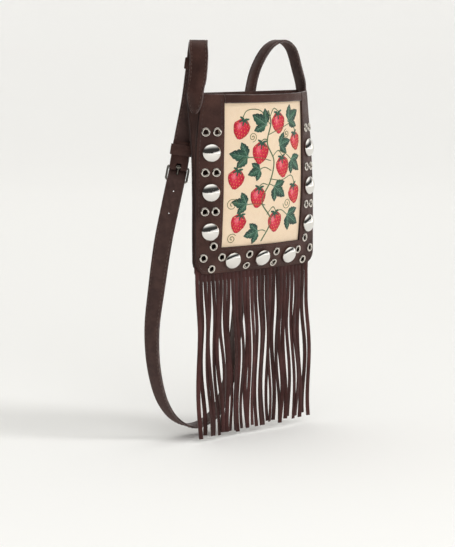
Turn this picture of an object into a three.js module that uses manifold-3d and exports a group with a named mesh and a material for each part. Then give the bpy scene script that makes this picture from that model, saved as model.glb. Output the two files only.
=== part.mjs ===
// A small crossbody bag of dark brown leather with an embroidered front panel, hanging by its strap.
// Millimetres, +Z up. The front faces -Y. The origin is midway between the strap's two crests,
// at the height of the faces that hang over a rail.

import * as THREE from 'three';
import { mergeVertices } from 'three/addons/utils/BufferGeometryUtils.js';
import Module from 'manifold-3d';

const wasm = await Module();
wasm.setup();

// Driving dimensions
const LEATHER = 2.0;
const CLOTH = 1.0;
const GAP = 0.3;
const FRONT_TOP = -48.8;
const FRONT_SAG = 1.5;
const BACK_TOP = -48.6;
const BODY_BOTTOM = -225.5;
const CORNER_RADIUS = 13;

// The window of the front frame, wider at the top, and the cloth's margin behind it
const WINDOW_TOP = -58.4;
const WINDOW_BOTTOM = -199.7;
const WINDOW_HALF_TOP = 53;
const WINDOW_HALF_BOTTOM = 51.2;
const CLOTH_MARGIN = 5;

// Outer faces of the walls: the two side edges and the bulge between them, a row for each height
const FRONT_ROWS = [
  { z: -46.0, leftX: -72.5, leftY: -9.0, rightX: 70.5, rightY: -1.5, bulge: 24.0 },
  { z: -76.5, leftX: -75.5, leftY: -7.0, rightX: 72.5, rightY: -3.0, bulge: 24.0 },
  { z: -106.5, leftX: -77.2, leftY: -5.5, rightX: 74.5, rightY: -4.5, bulge: 22.5 },
  { z: -146.5, leftX: -77.5, leftY: -5.0, rightX: 76.0, rightY: -6.0, bulge: 20.0 },
  { z: -176.5, leftX: -77.5, leftY: -5.0, rightX: 76.5, rightY: -6.0, bulge: 16.5 },
  { z: -201.5, leftX: -77.5, leftY: -5.0, rightX: 76.5, rightY: -6.0, bulge: 12.0 },
  { z: -212.5, leftX: -77.5, leftY: -5.0, rightX: 76.5, rightY: -6.0, bulge: 8.5 },
  { z: -219.5, leftX: -77.5, leftY: -5.0, rightX: 76.5, rightY: -6.0, bulge: 5.0 },
  { z: -225.5, leftX: -77.5, leftY: -5.0, rightX: 76.5, rightY: -6.0, bulge: 1.0 },
];
const BACK_ROWS = [
  { z: -46.0, leftX: -80.0, leftY: 7.0, rightX: 74.0, rightY: 15.5, bulge: 0.5 },
  { z: -76.5, leftX: -78.0, leftY: 6.0, rightX: 74.5, rightY: 11.0, bulge: 3.0 },
  { z: -106.5, leftX: -76.2, leftY: 4.5, rightX: 75.2, rightY: 7.0, bulge: 5.0 },
  { z: -146.5, leftX: -75.5, leftY: 4.0, rightX: 76.0, rightY: 4.0, bulge: 6.0 },
  { z: -201.5, leftX: -75.5, leftY: 4.0, rightX: 76.5, rightY: 4.0, bulge: 4.0 },
  { z: -225.5, leftX: -75.5, leftY: 4.0, rightX: 76.5, rightY: 4.0, bulge: 1.5 },
];

// The gusset lies a little inside the walls' cut edges
const GUSSET_INSET = 0.8;
const GUSSET_SEAM = 2.35;

// Domed studs and eyelets, by place on the front
const STUD_RADIUS = 9.2;
const STUD_HEIGHT = 5.6;
const STUD_RIM = 0.9;
const STUD_SIDE_X = 64.2;
const STUD_SIDE_Z = [-106, -144.6, -183.1];
const STUD_BOTTOM_X = [-36.8, 0, 36.8];
const STUD_BOTTOM_Z = -213.4;
const EYELET_RADIUS = 4.5;
const EYELET_BORE = 2.3;
const EYELET_BARREL = 2.85;
const EYELET_HEIGHT = 1.1;
const EYELET_PAIR_X = [59.4, 69.4];
const EYELET_PAIR_Z = [-85.8, -125.1, -163.3];
const DIAMOND_X = 60;
const DIAMOND_Z = -209;
const DIAMOND_HALF_X = 10;
const DIAMOND_HALF_Z = 11.3;
const EYELET_BOTTOM_X = 17.8;
const EYELET_BOTTOM_Z = [-208.2, -219.8];
const SEAT_GAP = 0.2;

// How many sides round things have
const DRILL_SIDES = 8;
const WIRE_SIDES = 8;
const RING_SIDES = 12;
const STUD_SIDES = 12;
const EYELET_SIDES = 10;
const DOME_STEPS = 3;

// Strap
const STRAP_WIDTH = 18;
const STRAP_THICK = 2.4;
const LAYER_GAP = 0.35;
const STRAP_LAYER = STRAP_THICK + LAYER_GAP;
const TONGUE_TIP_Z = -68.5;
const TONGUE_MID_Z = -58;
const TONGUE_TOP_Z = -44.5;
const TONGUE_LENGTH = 21;
const TONGUE_FORWARD = { leftX: 2.7, rightX: -6.5 };
const TIP_HALF_WIDTH = 0.7;
const CREST_RUN = 110;
const ARCH_RUN = 170;
const STEP = 14;
const BEND_STEP = 5;
const TIP_STEP = 3;
const BEND_SIDES = 3;

// Middle line of the strap between the two tongues: place and the facing of its width, in degrees
const STRAP_ROWS = [
  { x: -74.7, y: -4.2, z: -36, facing: -57 },
  { x: -72.3, y: -3.9, z: -14, facing: -50 },
  { x: -70.4, y: -0.6, z: -2.6, facing: -47 },
  { x: -66.0, y: 4.6, z: 1.2, facing: -46 },
  { x: -62.5, y: 10.6, z: -3.4, facing: -45 },
  { x: -61.6, y: 15.0, z: -20, facing: -43 },
  { x: -65.0, y: 19.0, z: -58, facing: -42 },
  { x: -73.0, y: 21.0, z: -95.7, facing: -40 },
  { x: -78.6, y: 22.2, z: -126, facing: -40 },
  { x: -86.0, y: 24.0, z: -158, facing: -42 },
  { x: -93.6, y: 26.0, z: -192, facing: -48 },
  { x: -101.0, y: 28.3, z: -241, facing: -64 },
  { x: -105.6, y: 29.8, z: -281, facing: -75 },
  { x: -103.1, y: 29.9, z: -321, facing: -82 },
  { x: -92.5, y: 30.0, z: -355, facing: -88 },
  { x: -78.5, y: 28.4, z: -374, facing: -92 },
  { x: -60.2, y: 27.0, z: -383.5, facing: -95 },
  { x: -42.5, y: 26.0, z: -382, facing: -96 },
  { x: -27.5, y: 25.2, z: -373, facing: -95 },
  { x: -14.5, y: 25.0, z: -352, facing: -94 },
  { x: -1.1, y: 25.0, z: -291, facing: -92 },
  { x: 5.5, y: 25.0, z: -209, facing: -92 },
  { x: 10.6, y: 25.0, z: -128, facing: -94 },
  { x: 16.0, y: 23.9, z: -52, facing: -98 },
  { x: 23.0, y: 20.7, z: -22.8, facing: -98 },
  { x: 34.6, y: 15.0, z: -3.6, facing: -96 },
  { x: 46.4, y: 11.0, z: 1.2, facing: -95 },
  { x: 57.0, y: 9.0, z: -5.4, facing: -96 },
  { x: 66.0, y: 8.4, z: -27, facing: -98 },
];

// Buckle: two bars and two sides of round wire, the prong and the layers of strap round it
const BUCKLE_BAR_Z = -120;
const BUCKLE_PITCH = 14;
const BUCKLE_HALF_WIDTH = 10.35;
const BUCKLE_WIRE = 1.0;
const BUCKLE_CORNER = 2.0;
const BUCKLE_CLEAR = 0.45;
const FOLD_RADIUS = BUCKLE_WIRE + BUCKLE_CLEAR + STRAP_THICK / 2;
const OVER_RADIUS = FOLD_RADIUS + STRAP_THICK + BUCKLE_CLEAR;
const FOLD_TAIL = 27;
const LAYER_START = 45;
const LAYER_END = 27;
const LAYER_OFFSET = 1.4;
const FOLD_START = 12;
const UNDER_RUN = 42;
const PRONG_RADIUS = 0.9;
const PRONG_RING = 2.6;
const PRONG_RING_BORE = 1.3;
const PRONG_RING_HALF = 1.6;
const PRONG_OVERHANG = 2.2;
const PRONG_SLOT_HALF = 2.4;
const PRONG_SLOT_LENGTH = 8.4;
const HOLE_RADIUS = 1.1;
const HOLE_PITCH = 22;
const HOLE_START = 24.3;
const HOLE_STEPS = [-3, 0, 1];
const PRONG_HOLE_RADIUS = 1.7;

// Keepers
const KEEPER_WALL = 1.1;
const KEEPER_HEIGHT = 10.5;
const KEEPER_CLEAR = 0.35;
const BUCKLE_KEEPER_ABOVE = 16.5;
const CREST_KEEPER_Z = -20;
const FREE_END_ABOVE_KEEPER = 12;

// Fringe: strips hanging from a header under the bottom edge
const STRIP_COUNT = 30;
const STRIP_WIDTH = 4.3;
const STRIP_THICK = 1.4;
const STRIP_STEPS = 6;
const STRIP_DRIFT = 2.4;
const STRIP_SWAY = { least: 1.3, most: 2.3 };
const STRIP_BENDS = { least: 1.1, most: 1.5 };
const STRIP_PHASE = { rate: 0.3, jitter: 1.0 };
const STRIP_SPREAD = 2.4;
const STRIP_CURL = 0.45;
const STRIP_CURL_RATE = 5;
const STRIP_LAYERS = 1.1;
const STRIP_TURN = 24;
const BUNCH_DRIFT = 2.6;
const BUNCH_RATE = 0.25;
const BUNCH_PHASE = 0.5;
const FRINGE_LEFT = -77;
const FRINGE_RIGHT = 71.5;
const FRINGE_TIP = -389;
const FRINGE_TILT = 4;
const FRINGE_LEAN = 3;
const FRINGE_RAGGED = 2.5;
const FRINGE_DEPTH = 2.6;
const HEADER_THICK = 2.4;
const HEADER_HEIGHT = 7;
const HEADER_GAP = 0.7;
const HEADER_STEPS = 36;

const leather = new THREE.MeshStandardMaterial({ color: 0x3a2a27, roughness: 0.6, metalness: 0 });
const suede = new THREE.MeshStandardMaterial({ color: 0x432b29, roughness: 0.8, metalness: 0 });
const cloth = new THREE.MeshStandardMaterial({ color: 0xead2ae, roughness: 0.9, metalness: 0 });
const nickel = new THREE.MeshStandardMaterial({ color: 0xd8d8d6, roughness: 0.15, metalness: 1 });
const gunmetal = new THREE.MeshStandardMaterial({ color: 0x6e6c68, roughness: 0.3, metalness: 1 });

const bag = new THREE.Group();

function addMesh(name, geometry, material) {
  const mesh = new THREE.Mesh(geometry, material);
  mesh.name = name;
  bag.add(mesh);
  return mesh;
}

// Numbers

const lerp = THREE.MathUtils.lerp;

function ease(t) {
  return THREE.MathUtils.smoothstep(t, 0, 1);
}

// A repeatable number from 0 to 1 for item i and use k
function scatter(i, k) {
  const value = Math.sin(i * 12.9898 + k * 78.233) * 43758.5453;
  return value - Math.floor(value);
}

// A column of a table at height z, through the rows with no kinks
function column(rows, key, z) {
  const last = rows.length - 1;
  let k = 0;
  while (k < last - 1 && z < rows[k + 1].z) k += 1;
  const slope = (i) => {
    const a = rows[Math.max(i - 1, 0)];
    const b = rows[Math.min(i + 1, last)];
    return (b[key] - a[key]) / (b.z - a.z);
  };
  const span = rows[k + 1].z - rows[k].z;
  const t = THREE.MathUtils.clamp((z - rows[k].z) / span, 0, 1);
  const rise = rows[k + 1][key] - rows[k][key];
  const start = slope(k) * span;
  const end = slope(k + 1) * span;
  return rows[k][key] + t * (start + t * (3 * rise - 2 * start - end + t * (start + end - 2 * rise)));
}

// Building solids from rings and grids

function geometryFrom(positions, indices) {
  const geometry = new THREE.BufferGeometry();
  const numbers = positions.flatMap((point) => point.toArray());
  geometry.setAttribute('position', new THREE.Float32BufferAttribute(numbers, 3));
  let volume = 0;
  for (let k = 0; k < indices.length; k += 3) {
    const [a, b, c] = [positions[indices[k]], positions[indices[k + 1]], positions[indices[k + 2]]];
    volume += a.dot(b.clone().cross(c));
  }
  const outward = volume > 0;
  const turned = indices.map((_, k) => indices[outward ? k : k - (k % 3) + 2 - (k % 3)]);
  geometry.setIndex(turned);
  geometry.computeVertexNormals();
  return geometry;
}

// A solid through rings of points, with flat ends, or closed on itself
function loft(rings, closed = false) {
  const count = rings[0].length;
  const indices = [];
  const spans = closed ? rings.length : rings.length - 1;
  for (let r = 0; r < spans; r += 1) {
    const here = r * count;
    const next = ((r + 1) % rings.length) * count;
    for (let k = 0; k < count; k += 1) {
      const side = (k + 1) % count;
      indices.push(here + k, here + side, next + side, here + k, next + side, next + k);
    }
  }
  if (!closed) {
    const end = (rings.length - 1) * count;
    for (let k = 1; k < count - 1; k += 1) {
      indices.push(0, k + 1, k);
      indices.push(end, end + k, end + k + 1);
    }
  }
  return geometryFrom(rings.flat(), indices);
}

// A wall with an outer and an inner face over a grid of places, only where keep(row, col) is true
function wall(outer, inner, rows, cols, keep) {
  const width = cols + 1;
  const layer = (rows + 1) * width;
  const at = (row, col) => row * width + col;
  const kept = (row, col) => row >= 0 && row < rows && col >= 0 && col < cols && keep(row, col);
  const indices = [];
  const quad = (a, b, c, d) => indices.push(a, b, c, a, c, d);
  for (let row = 0; row < rows; row += 1) {
    for (let col = 0; col < cols; col += 1) {
      if (!kept(row, col)) continue;
      const [a, b, c, d] = [at(row, col), at(row, col + 1), at(row + 1, col + 1), at(row + 1, col)];
      quad(a, d, c, b);
      quad(layer + a, layer + b, layer + c, layer + d);
      if (!kept(row - 1, col)) quad(a, b, layer + b, layer + a);
      if (!kept(row + 1, col)) quad(c, d, layer + d, layer + c);
      if (!kept(row, col - 1)) quad(d, a, layer + a, layer + d);
      if (!kept(row, col + 1)) quad(b, c, layer + c, layer + b);
    }
  }
  const used = [...new Set(indices)];
  const renumber = new Map(used.map((old, k) => [old, k]));
  const points = [...outer.flat(), ...inner.flat()];
  return geometryFrom(used.map((k) => points[k]), indices.map((k) => renumber.get(k)));
}

// Boolean cuts and joins

function toManifold(geometry) {
  const bare = geometry.clone();
  bare.deleteAttribute('normal');
  bare.deleteAttribute('uv');
  const merged = mergeVertices(bare, 1e-4);
  const index = Array.from(merged.index.array);
  const faces = [];
  for (let k = 0; k < index.length; k += 3) {
    const [a, b, c] = index.slice(k, k + 3);
    if (a !== b && b !== c && c !== a) faces.push(a, b, c);
  }
  return new wasm.Manifold(new wasm.Mesh({
    numProp: 3,
    vertProperties: new Float32Array(merged.attributes.position.array),
    triVerts: new Uint32Array(faces),
  }));
}

function fromManifold(body) {
  const mesh = body.getMesh();
  const geometry = new THREE.BufferGeometry();
  geometry.setAttribute('position', new THREE.Float32BufferAttribute(mesh.vertProperties, 3));
  geometry.setIndex(Array.from(mesh.triVerts));
  geometry.computeVertexNormals();
  return geometry;
}

function cut(geometry, tools) {
  return fromManifold(tools.reduce((body, tool) => body.subtract(toManifold(tool)), toManifold(geometry)));
}

function join(geometries) {
  const [first, ...rest] = geometries.map(toManifold);
  return fromManifold(rest.reduce((body, piece) => body.add(piece), first));
}

// A geometry made along +Y, set at a place with +Y turned to a direction
function aimed(geometry, place, direction) {
  const turn = new THREE.Quaternion().setFromUnitVectors(new THREE.Vector3(0, 1, 0), direction);
  return geometry.applyQuaternion(turn).translate(place.x, place.y, place.z);
}

// The walls of the body, as heights y over x and z

function wallPoint(rows, front, x, z) {
  const left = column(rows, 'leftX', z);
  const right = column(rows, 'rightX', z);
  const t = (x - left) / (right - left);
  const across = 2 * t - 1;
  const chord = lerp(column(rows, 'leftY', z), column(rows, 'rightY', z), t);
  const bulge = column(rows, 'bulge', z) * (1 - across * across);
  return { across, point: new THREE.Vector3(x, chord + (front ? -bulge : bulge), z) };
}

// The front's top edge sags in the middle, and the band below it takes up the sag
function frontPoint(x, z) {
  const { across, point } = wallPoint(FRONT_ROWS, true, x, z);
  const rise = ease((z - WINDOW_TOP) / (FRONT_TOP - WINDOW_TOP));
  point.z -= FRONT_SAG * rise * Math.max(0, 1 - across * across);
  return point;
}

const backPoint = (x, z) => wallPoint(BACK_ROWS, false, x, z).point;

function outward(pointAt, x, z, front) {
  const reach = 0.5;
  const alongX = pointAt(x + reach, z).sub(pointAt(x - reach, z));
  const alongZ = pointAt(x, z + reach).sub(pointAt(x, z - reach));
  const normal = alongX.cross(alongZ).normalize();
  return front === normal.y < 0 ? normal : normal.negate();
}

function sunk(pointAt, x, z, front, depth) {
  return pointAt(x, z).addScaledVector(outward(pointAt, x, z, front), -depth);
}

// How far the round bottom corners draw the side edges in at height z
function cornerInset(z) {
  const drop = BODY_BOTTOM + CORNER_RADIUS - z;
  if (drop <= 0) return 0;
  return CORNER_RADIUS - Math.sqrt(Math.max(CORNER_RADIUS ** 2 - drop ** 2, 0));
}

function windowHalf(z) {
  return lerp(WINDOW_HALF_TOP, WINDOW_HALF_BOTTOM, (WINDOW_TOP - z) / (WINDOW_TOP - WINDOW_BOTTOM));
}

// Heights from one level to another in equal steps
function levels(from, to, steps) {
  return Array.from({ length: steps }, (_, k) => lerp(from, to, k / steps));
}

const CORNER_TOP = BODY_BOTTOM + CORNER_RADIUS;
const CORNER_STEPS = 3;
const WINDOW_LEVELS = 7;
const cornerLevels = Array.from(
  { length: CORNER_STEPS + 1 },
  (_, k) => CORNER_TOP - CORNER_RADIUS * Math.sin((k / CORNER_STEPS) * (Math.PI / 2)),
);
const frontLevels = [
  ...levels(FRONT_TOP, WINDOW_TOP, 1),
  ...levels(WINDOW_TOP, WINDOW_BOTTOM, WINDOW_LEVELS),
  ...levels(WINDOW_BOTTOM, CORNER_TOP, 2),
  ...cornerLevels,
];
const SIDE_COLUMNS = 3;
const WINDOW_COLUMNS = 6;
const FRONT_COLUMNS = 2 * SIDE_COLUMNS + WINDOW_COLUMNS;

// Places across the front at height z: the side strips and the window each in equal steps
function frontAcross(z) {
  const inset = cornerInset(z);
  const half = windowHalf(z);
  return [
    ...levels(column(FRONT_ROWS, 'leftX', z) + inset, -half, SIDE_COLUMNS),
    ...levels(-half, half, WINDOW_COLUMNS),
    ...levels(half, column(FRONT_ROWS, 'rightX', z) - inset, SIDE_COLUMNS),
    column(FRONT_ROWS, 'rightX', z) - inset,
  ];
}

function gridOf(heights, across, pointAt, front, depth) {
  return heights.map((z) => across(z).map((x) => sunk(pointAt, x, z, front, depth)));
}

// Places of the studs and eyelets, each with its outward direction

function onFront(x, z) {
  return { place: frontPoint(x, z), direction: outward(frontPoint, x, z, true) };
}

const studs = [
  ...STUD_SIDE_Z.map((z) => onFront(-STUD_SIDE_X, z)),
  ...STUD_BOTTOM_X.map((x) => onFront(x, STUD_BOTTOM_Z)),
  ...STUD_SIDE_Z.map((z) => onFront(STUD_SIDE_X, z)).reverse(),
];

const diamond = (side) => [
  onFront(side * (DIAMOND_X + DIAMOND_HALF_X), DIAMOND_Z),
  onFront(side * DIAMOND_X, DIAMOND_Z + DIAMOND_HALF_Z),
  onFront(side * (DIAMOND_X - DIAMOND_HALF_X), DIAMOND_Z),
  onFront(side * DIAMOND_X, DIAMOND_Z - DIAMOND_HALF_Z),
];

const eyelets = [-1, 1].flatMap((side) => [
  ...EYELET_PAIR_Z.flatMap((z) => EYELET_PAIR_X.map((x) => onFront(side * x, z))),
  ...diamond(side),
  ...EYELET_BOTTOM_Z.map((z) => onFront(side * EYELET_BOTTOM_X, z)),
]);

// Front frame: side strips and bottom strip in one, pierced for the eyelets

function buildFront() {
  const inWindow = (row, col) =>
    row <= WINDOW_LEVELS && col >= SIDE_COLUMNS && col < SIDE_COLUMNS + WINDOW_COLUMNS;
  const rows = frontLevels.length - 1;
  const outer = gridOf(frontLevels, frontAcross, frontPoint, true, 0);
  const inner = gridOf(frontLevels, frontAcross, frontPoint, true, LEATHER);
  const frame = wall(outer, inner, rows, FRONT_COLUMNS, (row, col) => !inWindow(row, col));
  const drills = eyelets.map(({ place, direction }) => {
    const radius = EYELET_BARREL + GAP;
    return aimed(new THREE.CylinderGeometry(radius, radius, 4 * LEATHER, DRILL_SIDES), place, direction);
  });
  addMesh('front_frame', cut(frame, drills), leather);

  const bandLevels = [FRONT_TOP, WINDOW_TOP];
  const bandAcross = (z) => {
    const half = windowHalf(z) - GAP;
    return [...levels(-half, half, WINDOW_COLUMNS), half];
  };
  const band = wall(
    gridOf(bandLevels, bandAcross, frontPoint, true, 0),
    gridOf(bandLevels, bandAcross, frontPoint, true, LEATHER),
    1,
    WINDOW_COLUMNS,
    () => true,
  );
  addMesh('top_band', band, leather);
}

// Embroidered cloth behind the window

function buildPanel() {
  const heights = [
    ...levels(FRONT_TOP - CLOTH, WINDOW_TOP, 1),
    ...levels(WINDOW_TOP, WINDOW_BOTTOM, 8),
    WINDOW_BOTTOM,
    WINDOW_BOTTOM - CLOTH_MARGIN,
  ];
  const across = (z) => {
    const half = windowHalf(z) + CLOTH_MARGIN;
    return [...levels(-half, half, WINDOW_COLUMNS), half];
  };
  const depth = LEATHER + GAP;
  const panel = wall(
    gridOf(heights, across, frontPoint, true, depth),
    gridOf(heights, across, frontPoint, true, depth + CLOTH),
    heights.length - 1,
    WINDOW_COLUMNS,
    () => true,
  );
  addMesh('embroidered_panel', panel, cloth);
}

// Back wall

function buildBack() {
  const heights = [...levels(BACK_TOP, CORNER_TOP, 8), ...cornerLevels];
  const across = (z) => {
    const left = column(BACK_ROWS, 'leftX', z) + cornerInset(z);
    const right = column(BACK_ROWS, 'rightX', z) - cornerInset(z);
    return [...levels(left, right, WINDOW_COLUMNS), right];
  };
  const back = wall(
    gridOf(heights, across, backPoint, false, 0),
    gridOf(heights, across, backPoint, false, LEATHER),
    heights.length - 1,
    WINDOW_COLUMNS,
    () => true,
  );
  addMesh('back_panel', back, leather);
}

// Gusset: a strip round the sides and the bottom, between the edges of front and back

// Stations along a wall's edge, down the left side, along the bottom and up the right side
function edgeStations(rows, top, pointAt) {
  const station = (x, z, inX, inZ) => ({ point: pointAt(x, z), inX, inZ });
  const quarter = (k) => (k / CORNER_STEPS) * (Math.PI / 2);
  const sideLevels = levels(top, CORNER_TOP, 12);
  const side = (key, inX) => sideLevels.map((z) => station(column(rows, key, z), z, inX, 0));
  const corner = (key, inX) => Array.from({ length: CORNER_STEPS }, (_, k) => {
    const angle = quarter(k);
    const z = CORNER_TOP - CORNER_RADIUS * Math.sin(angle);
    const x = column(rows, key, z) + inX * CORNER_RADIUS * (1 - Math.cos(angle));
    return station(x, z, inX * Math.cos(angle), Math.sin(angle));
  });
  const left = column(rows, 'leftX', BODY_BOTTOM) + CORNER_RADIUS;
  const right = column(rows, 'rightX', BODY_BOTTOM) - CORNER_RADIUS;
  const bottom = [...levels(left, right, WINDOW_COLUMNS), right];
  return [
    ...side('leftX', 1),
    ...corner('leftX', 1),
    ...bottom.map((x) => station(x, BODY_BOTTOM, 0, 1)),
    ...corner('rightX', -1).reverse(),
    ...side('rightX', -1).reverse(),
  ];
}

function buildGusset() {
  const front = edgeStations(FRONT_ROWS, FRONT_TOP, frontPoint);
  const back = edgeStations(BACK_ROWS, BACK_TOP, backPoint);
  const edge = ({ point, inX, inZ }, inset, seam) =>
    new THREE.Vector3(point.x + inX * inset, point.y + seam, point.z + inZ * inset);
  const rings = front.map((station, k) => [
    edge(station, GUSSET_INSET, GUSSET_SEAM),
    edge(back[k], GUSSET_INSET, -GUSSET_SEAM),
    edge(back[k], GUSSET_INSET + LEATHER, -GUSSET_SEAM),
    edge(station, GUSSET_INSET + LEATHER, GUSSET_SEAM),
  ]);
  addMesh('gusset', loft(rings), leather);
}

// Strap: one middle line from the left tongue to the right tongue, measured along its length

// The strap's seat on a gusset at height z: flat across the edges of front and back
function gussetSeat(key, z) {
  const front = frontPoint(column(FRONT_ROWS, key, z), z);
  const back = backPoint(column(BACK_ROWS, key, z), z);
  const across = front.clone().sub(back).setZ(0).normalize();
  const out = key === 'leftX' ? -1 : 1;
  const away = new THREE.Vector3(out * Math.abs(across.y), -out * Math.sign(across.y) * across.x, 0);
  const place = front.clone().add(back).multiplyScalar(0.5).setZ(z);
  const innerEdge = sunk(backPoint, back.x, z, false, LEATHER);
  const proud = Math.max(0, innerEdge.sub(place).dot(away));
  place.addScaledVector(away, proud + GAP + STRAP_THICK / 2).addScaledVector(across, TONGUE_FORWARD[key]);
  const facing = THREE.MathUtils.radToDeg(Math.atan2(across.y, across.x));
  return { x: place.x, y: place.y, z, facing };
}

const tongueLevels = [TONGUE_TIP_Z, TONGUE_MID_Z, TONGUE_TOP_Z];
const strapRows = [
  ...tongueLevels.map((z) => gussetSeat('leftX', z)),
  ...STRAP_ROWS,
  ...[...tongueLevels].reverse().map((z) => gussetSeat('rightX', z)),
];

function measureLine(rows) {
  const curve = new THREE.CatmullRomCurve3(rows.map(({ x, y, z }) => new THREE.Vector3(x, y, z)));
  const samples = [];
  const perRow = 24;
  const total = (rows.length - 1) * perRow;
  let length = 0;
  for (let k = 0; k <= total; k += 1) {
    const point = curve.getPoint(k / total);
    const row = Math.min(Math.floor(k / perRow), rows.length - 2);
    const facing = lerp(rows[row].facing, rows[row + 1].facing, k / perRow - row);
    if (k > 0) length += point.distanceTo(samples[k - 1].point);
    samples.push({ length, point, facing });
  }
  return samples;
}

const line = measureLine(strapRows);
const lineLength = line[line.length - 1].length;

// Place, direction, width and outward (grain) face of the strap at a length along its line
function strapFrame(length) {
  const clamped = THREE.MathUtils.clamp(length, 0, lineLength);
  let k = 1;
  while (k < line.length - 1 && line[k].length < clamped) k += 1;
  const [a, b] = [line[k - 1], line[k]];
  const t = (clamped - a.length) / (b.length - a.length);
  const before = line[Math.max(k - 2, 0)].point;
  const after = line[Math.min(k + 1, line.length - 1)].point;
  const along = after.clone().sub(before).normalize();
  const angle = THREE.MathUtils.degToRad(lerp(a.facing, b.facing, t));
  const across = new THREE.Vector3(Math.cos(angle), Math.sin(angle), 0);
  across.addScaledVector(along, -across.dot(along)).normalize();
  const grain = across.clone().cross(along);
  return { place: a.point.clone().lerp(b.point, t), along, across, grain };
}

// The length at which the strap's rear leg on the left is at height z
function rearLengthAt(z) {
  const crest = line.findIndex(({ point }) => point.z > 0);
  return line.find(({ point }, k) => k > crest && point.z < z).length;
}

const barLength = rearLengthAt(BUCKLE_BAR_Z);
const crestKeeperLength = rearLengthAt(CREST_KEEPER_Z);

// A point of a layer: its length along the line and its height off it towards the grain side
function layerPoint({ length, height }) {
  const { place, grain, across } = strapFrame(length);
  return { point: place.addScaledVector(grain, height), across };
}

// A flat strap through stations, with the half-width at each
function ribbon(stations, halfWidth) {
  const spots = stations.map(layerPoint);
  const rings = spots.map(({ point, across }, k) => {
    const before = spots[Math.max(k - 1, 0)].point;
    const after = spots[Math.min(k + 1, spots.length - 1)].point;
    const along = after.clone().sub(before).normalize();
    const side = across.clone().addScaledVector(along, -across.dot(along)).normalize();
    const up = side.clone().cross(along).multiplyScalar(STRAP_THICK / 2);
    side.multiplyScalar(halfWidth(stations[k]));
    return [
      point.clone().sub(side).sub(up),
      point.clone().add(side).sub(up),
      point.clone().add(side).add(up),
      point.clone().sub(side).add(up),
    ];
  });
  return loft(rings);
}

// Height of the short piece off the line as it nears the buckle's upper bar
function mainHeight(length) {
  const short = barLength - length;
  const lift = LAYER_OFFSET * ease((LAYER_START - short) / (LAYER_START - LAYER_END));
  return lift + (FOLD_RADIUS - LAYER_OFFSET) * ease((FOLD_START - short) / FOLD_START);
}

// Stations at equal steps over a stretch of the line
function stretch(from, to, step, height) {
  const steps = Math.max(1, Math.round(Math.abs(to - from) / step));
  return Array.from({ length: steps }, (_, k) => {
    const length = lerp(from, to, k / steps);
    return { length, height: height(length) };
  });
}

// Stations on an arc about a bar, from one angle to another in degrees
function turnRound(centre, radius, from, to, steps) {
  return Array.from({ length: steps + 1 }, (_, k) => {
    const angle = THREE.MathUtils.degToRad(lerp(from, to, k / steps));
    return { length: centre + radius * Math.cos(angle), height: radius * Math.sin(angle) };
  });
}

// Half-width near a pointed end, at a distance from its tip
function pointed(distance) {
  const t = THREE.MathUtils.clamp(distance / TONGUE_LENGTH, 0, 1);
  return Math.max(TIP_HALF_WIDTH, (STRAP_WIDTH / 2) * Math.sqrt(1 - (1 - t) ** 2));
}

const flat = () => 0;

// A round cutter through the strap at a length along the line
function holeThrough(length, radius) {
  const { place, grain } = strapFrame(length);
  return aimed(new THREE.CylinderGeometry(radius, radius, 6 * STRAP_THICK, DRILL_SIDES), place, grain);
}

const lowerBar = barLength + BUCKLE_PITCH;
const underRadius = BUCKLE_WIRE + BUCKLE_CLEAR + STRAP_THICK / 2;
const crossing = THREE.MathUtils.radToDeg(Math.asin((OVER_RADIUS + underRadius) / BUCKLE_PITCH));
const prongSlope = (BUCKLE_WIRE + PRONG_RADIUS + BUCKLE_CLEAR) / BUCKLE_PITCH;

// A point at the buckle by its distances along the strap from the upper bar, off it and across it
function bucklePoint(along, height, across = 0) {
  const base = strapFrame(barLength + BUCKLE_PITCH / 2);
  return base.place
    .addScaledVector(base.along, along - BUCKLE_PITCH / 2)
    .addScaledVector(base.grain, height)
    .addScaledVector(base.across, across);
}

function prongDirection() {
  return bucklePoint(1, prongSlope).sub(bucklePoint(0, 0)).normalize();
}

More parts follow.
